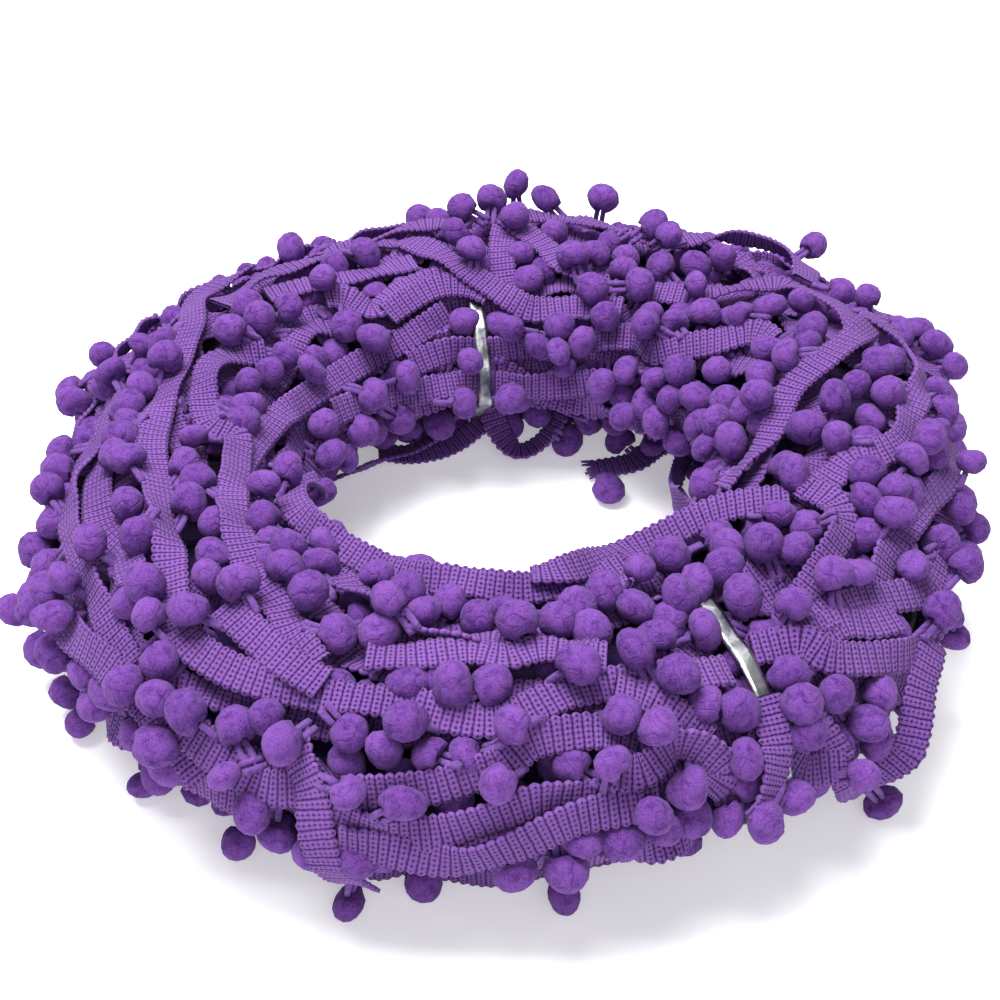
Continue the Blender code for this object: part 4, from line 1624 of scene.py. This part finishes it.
@dataclass
class BallMaker:
    """Models one pompom and copies it to every place, each turned, squashed and dented its own way."""

    trim: Trim
    segments: int = 12
    rings: int = 8
    cleft: float = 0.55
    crease: float = 0.78
    crease_width: float = 0.1
    crease_from: float = 0.05
    top_from: float = 0.99
    sizes: tuple[float, float] = (0.92, 1.10)
    squash: float = 0.24
    dent: float = 0.70 * MM
    dent_waves: float = 420
    seed: int = 5

    def model(self) -> tuple[np.ndarray, list]:
        """The ball with a crease over its top and a cleft where its stem goes in.

        Returns:
            Its vertices and its faces.
        """
        radius = self.trim.ball_diameter / 2
        bpy.ops.object.select_all(action="DESELECT")
        bpy.ops.mesh.primitive_uv_sphere_add(segments=self.segments, ring_count=self.rings, radius=radius)
        ball = bpy.context.object
        wide, low, top = self.crease_width * radius, self.crease_from * radius, self.top_from * radius
        self.draw_in(ball, lambda place: abs(place.y) < wide and place.z > low, self.crease)
        self.draw_in(ball, lambda place: place.z > top * self.crease, self.cleft)
        points = np.array([vertex.co[:] for vertex in ball.data.vertices])
        faces = [list(face.vertices) for face in ball.data.polygons]
        bpy.data.objects.remove(ball)
        return points, faces

    @staticmethod
    def draw_in(ball: bpy.types.Object, is_chosen: Callable[[Vector], bool], factor: float) -> None:
        """Scales chosen vertices towards the ball's middle.

        Args:
            ball: The ball.
            is_chosen: Whether a vertex at this place is chosen.
            factor: The scale.
        """
        bpy.ops.object.mode_set(mode="EDIT")
        bpy.ops.mesh.select_all(action="DESELECT")
        bpy.ops.object.mode_set(mode="OBJECT")
        for vertex in ball.data.vertices:
            vertex.select = is_chosen(vertex.co)
        bpy.ops.object.mode_set(mode="EDIT")
        bpy.ops.transform.resize(value=(factor, factor, factor), center_override=(0, 0, 0))
        bpy.ops.object.mode_set(mode="OBJECT")

    def make(self, name: str, pompoms: list[Pompom], material: bpy.types.Material) -> bpy.types.Object:
        """One mesh of pompoms.

        Args:
            name: The piece's name.
            pompoms: The pompoms, each with its top towards its stem.
            material: The felt.

        Returns:
            The object.
        """
        ball, ball_faces = self.model()
        chance = np.random.default_rng(self.seed)
        points, faces, tones = [], [], []
        for number, pompom in enumerate(pompoms):
            pole = unit(pompom.anchor - pompom.middle)
            turn = np.array(Vector(pole).to_track_quat("Z", "Y").to_matrix())
            spin = np.array(Matrix.Rotation(chance.uniform(0, 2 * math.pi), 3, "Z"))
            size = chance.uniform(*self.sizes, 3)
            size[chance.integers(0, 3)] *= 1 - self.squash * chance.random()
            waves = chance.uniform(-self.dent_waves, self.dent_waves, (3, 3))
            phase = chance.uniform(0, 6.28, 3)
            dent = self.dent * np.sin(ball @ waves.T + phase).sum(axis=1) / 1.5
            shaped = ball * size + unit(ball) * dent[:, None]
            points.append(shaped @ (turn @ spin).T + pompom.middle)
            faces.extend([[v + number * len(ball) for v in face] for face in ball_faces])
            tones.append(np.full(len(ball), chance.random()))
        piece = mesh_object(name, np.concatenate(points), faces, material)
        put_tone(piece, np.concatenate(tones))
        return piece


@dataclass
class StemMaker:
    """Makes the double yarn from the tape's edge into each pompom, and the threads of cut ends."""

    trim: Trim
    sides: int = 6
    steps: int = 5
    taper: float = 0.12
    root_depth: float = 1.6 * MM
    tip_share: float = 0.34
    apart: tuple[float, float] = (1.1, 0.95)
    bow: tuple[float, float] = (0.25 * MM, 0.4 * MM)
    cut_threads: int = 11
    cut_radius: float = 0.42 * MM
    cut_share: float = 0.46
    cut_root: float = 1.2 * MM
    cut_length: tuple[float, float] = (2.2 * MM, 0.7 * MM)
    cut_fan: tuple[float, float] = (1.4 * MM, 0.3 * MM)
    cut_curl: float = 0.4 * MM
    cut_bow: float = 0.3 * MM

    def make(self, name: str, pompoms: list[Pompom], material: bpy.types.Material) -> bpy.types.Object:
        """One mesh of stems.

        Args:
            name: The piece's name.
            pompoms: The pompoms that they hold.
            material: The yarn.

        Returns:
            The object.
        """
        points, faces = [], []
        radius = self.trim.yarn_diameter / 2
        for pompom in pompoms:
            reach = pompom.middle - pompom.anchor
            way = reach / max(np.linalg.norm(reach), 1e-6)
            beside = unit(pompom.along - way * float(pompom.along @ way))
            over = np.cross(way, beside)
            stop = pompom.middle - way * self.trim.ball_diameter * self.tip_share
            start = pompom.anchor - way * self.root_depth
            for side in (-1, 1):
                first = start + beside * side * radius * self.apart[0]
                last = stop + beside * side * radius * self.apart[1]
                bow = beside * side * self.bow[0] + over * self.bow[1]
                middle = first + (last - first) * 0.5 + bow
                self.tube(points, faces, (first, middle, last), (beside, over), radius)
        return self.finished(name, points, faces, material)

    def fray(self, name: str, tapes: list[LaidTape], material: bpy.types.Material) -> bpy.types.Object:
        """One mesh of the threads that fan out of the tapes' cut ends.

        Args:
            name: The piece's name.
            tapes: The tapes, each cut at its last point.
            material: The yarn.

        Returns:
            The object.
        """
        points, faces = [], []
        for tape in tapes:
            end, along, across, face = tape.points[-1], tape.along[-1], tape.across[-1], tape.face[-1]
            for number, share in enumerate(np.linspace(-1, 1, self.cut_threads)):
                first = end + across * share * self.trim.tape_width * self.cut_share - along * self.cut_root
                ahead = self.cut_root + self.cut_length[0] + self.cut_length[1] * math.sin(5 * number)
                aside = self.cut_fan[0] * share + self.cut_fan[1] * math.cos(7 * number)
                last = first + along * ahead + across * aside + face * self.cut_curl * math.sin(3 * number)
                first[2] = max(first[2], self.cut_radius)
                last[2] = max(last[2], self.cut_radius)
                middle = (first + last) / 2 + face * self.cut_bow
                self.tube(points, faces, (first, middle, last), (across, face), self.cut_radius)
        return self.finished(name, points, faces, material)

    def tube(self, points: list, faces: list, line: tuple, sides: tuple, radius: float) -> None:
        """Adds one bent yarn to the lists.

        Args:
            points: The rows of vertices so far.
            faces: The faces so far.
            line: The first point, the one it bends towards, and the last.
            sides: Two directions across it.
            radius: Its radius at the start.
        """
        first, middle, last = line
        offset = sum(len(rows) for rows in points)
        turns = np.linspace(0, 2 * math.pi, self.sides, endpoint=False)
        ring = np.outer(np.cos(turns), sides[0]) + np.outer(np.sin(turns), sides[1])
        rows = []
        for t in np.linspace(0, 1, self.steps):
            centre = (1 - t) ** 2 * first + 2 * t * (1 - t) * middle + t * t * last
            rows.append(centre + ring * radius * (1 - self.taper * t))
        points.append(np.concatenate(rows))
        for step in range(self.steps - 1):
            a = offset + step * self.sides
            b = a + self.sides
            for side in range(self.sides):
                nxt = (side + 1) % self.sides
                faces.append([a + side, a + nxt, b + nxt, b + side])
        faces.append([offset + i for i in range(self.sides - 1, -1, -1)])
        faces.append([offset + (self.steps - 1) * self.sides + i for i in range(self.sides)])

    @staticmethod
    def finished(name: str, points: list, faces: list, material: bpy.types.Material) -> bpy.types.Object:
        """The object of all yarns in the lists.

        Args:
            name: The piece's name.
            points: The rows of vertices.
            faces: The faces.
            material: The yarn.

        Returns:
            The object.
        """
        piece = mesh_object(name, np.concatenate(points), faces, material)
        put_tone(piece, np.zeros(len(piece.data.vertices)))
        return piece


@dataclass
class Core:
    """The wound mass that shows between the turns, coloured near-black as painted deep shade."""

    form: HankForm
    segments: tuple[int, int] = (144, 40)
    radii: tuple[float, float] = (0.09, 0.03)
    lift: float = -8.0 * MM
    floor: float = 0.4 * MM
    lump: float = 0.8 * MM
    lump_waves: tuple[tuple[int, int], ...] = ((23, 2), (5, 11))

    def build(self, finish: CoreShade) -> bpy.types.Object:
        """The core as one lumpy ring, from a torus shaped to the hank's form.

        Args:
            finish: Its finish.

        Returns:
            The object.
        """
        bpy.ops.object.select_all(action="DESELECT")
        bpy.ops.mesh.primitive_torus_add(
            major_segments=self.segments[0], minor_segments=self.segments[1],
            major_radius=self.radii[0], minor_radius=self.radii[1],
        )
        core = bpy.context.object
        core.name = "wound_core"
        points = np.array([vertex.co[:] for vertex in core.data.vertices])
        around = np.degrees(np.arctan2(points[:, 1], points[:, 0]))
        section = np.degrees(np.arctan2(points[:, 2], np.hypot(points[:, 0], points[:, 1]) - self.radii[0]))
        waves = [np.sin(np.radians(around * a + section * s)) for a, s in self.lump_waves]
        shaped = self.form.point(around, section, np.full(len(points), self.lift) + self.lump * sum(waves))
        shaped[:, 2] = np.maximum(shaped[:, 2], self.floor)
        core.data.vertices.foreach_set("co", shaped.ravel())
        core.data.update()
        core.data.shade_smooth()
        core.data.materials.clear()
        core.data.materials.append(felt_material(finish))
        put_tone(core, np.zeros(len(points)))
        return core


@dataclass
class TieMaker:
    """Makes the flat wire ties, drawn tight over the turns under them."""

    form: HankForm
    stack: LiftMap
    steps: int = 180
    clear: float = 0.5 * MM
    least_lift: float = 0.8 * MM
    off_floor: float = 0.05 * MM
    print_deg: tuple[float, ...] = (-1.2, -0.6, 0, 0.6, 1.2)
    crossing_steps: int = 6
    ease_steps: int = 7
    crinkle: float = 0.07 * MM
    crinkle_waves: tuple[int, int] = (23, 41)
    fine_crinkle: float = 0.6
    tilt: float = 0.10
    tilt_waves: int = 17
    columns: tuple[float, ...] = (-1.0, -0.5, 0.0, 0.5, 1.0)
    bulges: tuple[float, ...] = (0.0, 0.55, -0.05, 0.60, 0.1)
    edge_thickness: float = 0.6

    def line(self, tie: Tie) -> tuple[np.ndarray, np.ndarray]:
        """A tie's middle line.

        Args:
            tie: The tie.

        Returns:
            Its points, and the direction out of the hank at each.
        """
        section = np.linspace(0, 360, self.steps, endpoint=False)
        around = tie.around - tie.lean * np.cos(np.radians(section))
        under = np.max([self.stack.highest(around + off, section) for off in self.print_deg], axis=0)
        lift = softened(under, self.crossing_steps, self.ease_steps, "wrap")
        lift = np.maximum(lift, self.least_lift) + self.clear + tie.thickness / 2
        points = self.form.point(around, section, lift)
        points[:, 2] = np.maximum(points[:, 2], tie.thickness / 2 + self.off_floor)
        self.stack.raise_to(around, section, lift + tie.thickness)
        return points, self.form.outward(around, section)

    def bare(self, tie: Tie, points: np.ndarray) -> np.ndarray:
        """The points of a tie's line where nothing covers it."""
        section = np.linspace(0, 360, self.steps, endpoint=False)
        return points[(section > tie.bare[0]) & (section < tie.bare[1])]

    def build(self, tie: Tie, line: tuple[np.ndarray, np.ndarray],
              material: bpy.types.Material) -> bpy.types.Object:
        """One tie as a closed band, crinkled along its length.

        Args:
            tie: The tie.
            line: Its points and directions.
            material: The wire.

        Returns:
            The object.
        """
        points, outward = line
        along = unit(np.roll(points, -1, axis=0) - np.roll(points, 1, axis=0))
        across = unit(np.cross(along, outward))
        out = unit(np.cross(across, along))
        turns = np.arange(self.steps) / self.steps * 2 * math.pi
        fine = self.fine_crinkle * np.sin(self.crinkle_waves[1] * turns + 1.0)
        wave = self.crinkle * (np.sin(self.crinkle_waves[0] * turns) + fine)
        tilt = self.tilt * np.sin(self.tilt_waves * turns + 0.5)
        rows = []
        for side in (1, -1):
            for column, bulge in list(zip(self.columns, self.bulges))[::side]:
                thin = self.edge_thickness if abs(column) == 1 else 1.0
                height = bulge * tie.thickness + side * tie.thickness / 2 * thin
                lean = tilt * column * tie.width / 2
                rows.append(points + across * tie.width / 2 * column + out * (wave + lean + height)[:, None])
        ring = np.stack(rows, axis=1)
        count = len(rows)
        faces = []
        for i in range(self.steps):
            nxt = (i + 1) % self.steps
            for a in range(count):
                b = (a + 1) % count
                faces.append([i * count + a, nxt * count + a, nxt * count + b, i * count + b])
        return mesh_object(tie.name + "_wire", ring.reshape(-1, 3), faces, material)


@dataclass(frozen=True)
class Lamp:
    """A square area light that looks at the hank, in metres and watts."""

    name: str
    place: Place
    size: float
    power: float


@dataclass
class Studio:
    """The pale floor, the soft lights and the photograph's camera."""

    form: HankForm
    camera_place: Place = (0.0, -0.36336, 0.31364)
    camera_way: Place = (-0.00834, 0.78703, -0.61686)
    lens_mm: float = 57.74
    sensor_mm: float = 36.0
    near_clip: float = 0.01
    floor_size: float = 8.0
    floor_colour: Colour = (0.93, 0.93, 0.94)
    floor_glow: float = 0.34
    air: float = 0.24
    lamps: tuple[Lamp, ...] = (
        Lamp("key_light", (-0.20, 0.02, 1.00), 0.6, 20.2),
        Lamp("fill_light", (0.10, -0.90, 0.60), 0.8, 4.0),
        Lamp("back_light", (0.25, 0.85, 0.75), 0.6, 3.0),
    )

    def build(self) -> None:
        """Builds the whole studio."""
        self.floor()
        for lamp in self.lamps:
            self.light(lamp)
        world = bpy.data.worlds.new("studio_air")
        world.use_nodes = True
        background = world.node_tree.nodes["Background"]
        background.inputs["Color"].default_value = (1, 1, 1, 1)
        background.inputs["Strength"].default_value = self.air
        bpy.context.scene.world = world
        bpy.context.scene.view_settings.view_transform = "Standard"
        self.camera()

    def floor(self) -> None:
        """A wide pale floor, which glows a little to stay white beside the hank."""
        bpy.ops.object.select_all(action="DESELECT")
        bpy.ops.mesh.primitive_plane_add(size=self.floor_size)
        floor = bpy.context.object
        floor.name = "floor"
        material, _, shader = new_material("paper_floor", 0.9)
        shader.inputs["Base Color"].default_value = (*self.floor_colour, 1)
        shader.inputs["Emission Color"].default_value = (1, 1, 1, 1)
        shader.inputs["Emission Strength"].default_value = self.floor_glow
        floor.data.materials.append(material)

    @staticmethod
    def light(lamp: Lamp) -> None:
        """Hangs one area light.

        Args:
            lamp: The lamp.
        """
        data = bpy.data.lights.new(lamp.name, "AREA")
        data.size = lamp.size
        data.energy = lamp.power
        made = bpy.data.objects.new(lamp.name, data)
        made.location = lamp.place
        made.rotation_euler = (-Vector(lamp.place)).to_track_quat("-Z", "Y").to_euler()
        bpy.context.scene.collection.objects.link(made)

    def camera(self) -> None:
        """The camera at the photograph's angle."""
        data = bpy.data.cameras.new("photo_camera")
        data.lens = self.lens_mm
        data.sensor_width = self.sensor_mm
        data.clip_start = self.near_clip
        camera = bpy.data.objects.new("photo_camera", data)
        camera.location = Vector(self.camera_place) + Vector((*self.form.centre, 0.0))
        camera.rotation_euler = Vector(self.camera_way).to_track_quat("-Z", "Y").to_euler()
        bpy.context.scene.collection.objects.link(camera)
        bpy.context.scene.camera = camera


@dataclass
class Hank:
    """The whole dressed hank."""

    trim: Trim = field(default_factory=Trim)
    form: HankForm = field(default_factory=HankForm)
    least_flat: float = 10 * MM
    under_pieces: int = 3

    def build(self) -> None:
        """Lays the tapes, hangs the pompoms, ties the hank and hands each piece to the frame."""
        winder = Winder(self.form, self.trim)
        turns = BACK_RUNS + FRONT_RUNS
        under_lanes = [run for lanes in LANES for run in lanes.runs()]
        for run in under_lanes + [run for run in turns if not run.over_tie]:
            winder.lay(run)
        ties = TieMaker(self.form, winder.stack)
        lines = {tie: ties.line(tie) for tie in TIES}
        for run in turns:
            if run.over_tie:
                winder.lay(run)
        cut = {FRONT_END.name: winder.lay(FRONT_END)}
        for run in FREE_RUNS:
            laid = winder.lay_free(run)
            if run.name == "loose_end_inner":
                cut[run.name] = laid
        fringe = Fringe(self.form, self.trim)
        for tape in winder.laid:
            fringe.hang(tape)
        fringe.add_seen(winder.laid, winder.stack)
        fringe.settle(winder.laid, [ties.bare(tie, points) for tie, (points, _) in lines.items()])
        weave = weave_material(TapeFinish())
        felt, yarn = felt_material(FeltFinish()), felt_material(YarnFinish())
        core = Core(self.form).build(CoreShade())
        self.hand_over(core, "trim")
        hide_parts("hank")
        sewn_on = self.dress_fringe(fringe, felt, yarn)
        self.dress_tapes(winder, weave, cut)
        cut_threads = StemMaker(self.trim).fray("cut_threads", list(cut.values()), yarn)
        self.hand_over(cut_threads, "trim")
        wire = wire_material(WireFinish())
        for tie in TIES:
            band = ties.build(tie, lines[tie], wire)
            self.hand_over(band, "tie")
            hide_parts(tie.name)

    def dress_tapes(self, winder: Winder, weave: bpy.types.Material, cut: dict[str, LaidTape]) -> None:
        """Makes the tapes of each zone, and the loose ends as pieces of their own.

        Args:
            winder: The winder, with all tapes laid.
            weave: The tape's material.
            cut: The loose ends, by the name of the solid that each replaces.
        """
        maker = TapeMaker(self.trim)
        for name, tape in cut.items():
            piece = maker.make(name + "_tape", [tape], weave)
            self.declare(piece)
            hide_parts(name)
        for zone in Zone:
            tapes = [tape for tape in winder.laid if tape.run.zone is zone and tape.run.name not in cut]
            parts = self.under_pieces if zone is Zone.UNDER else 1
            for number in range(parts):
                group = tapes[number::parts]
                piece = maker.make(f"tape_{zone.value}_{number}", group, weave)
                self.declare(piece)

    def declare(self, piece: bpy.types.Object) -> None:
        """Hands a tape over to the hank's one body.

        Args:
            piece: The piece.
        """
        self.hand_over(piece, "trim")

    def dress_fringe(self, fringe: Fringe, felt: bpy.types.Material,
                     yarn: bpy.types.Material) -> dict[Zone, list]:
        """Makes the pompoms and stems of each zone.

        Args:
            fringe: The fringe, settled.
            felt: The pompoms' material.
            yarn: The stems' material.

        Returns:
            The pieces of each zone.
        """
        balls, stems = BallMaker(self.trim), StemMaker(self.trim)
        made = {}
        for zone in Zone:
            pompoms = [pompom for pompom in fringe.pompoms if pompom.zone is zone]
            LOG.info("%s: %d pompoms", zone.value, len(pompoms))
            made[zone] = [balls.make(f"pompoms_{zone.value}", pompoms, felt),
                          stems.make(f"stems_{zone.value}", pompoms, yarn)]
            for piece in made[zone]:
                self.hand_over(piece, "trim")
        return made

    @staticmethod
    def hand_over(piece: bpy.types.Object, slot: str) -> None:
        """Lets a piece ride on the hank's one body and logs its face count.

        Args:
            piece: The piece.
            slot: Not used.
        """
        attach(piece, "root")
        LOG.info("%s: %d faces", piece.name, len(piece.data.polygons))


def main() -> None:
    """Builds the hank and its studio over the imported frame."""
    logging.basicConfig(level=logging.INFO, format="%(message)s")
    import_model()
    form = HankForm()
    Studio(form).build()
    Hank(form=form).build()


if __name__ == "__main__":
    main()
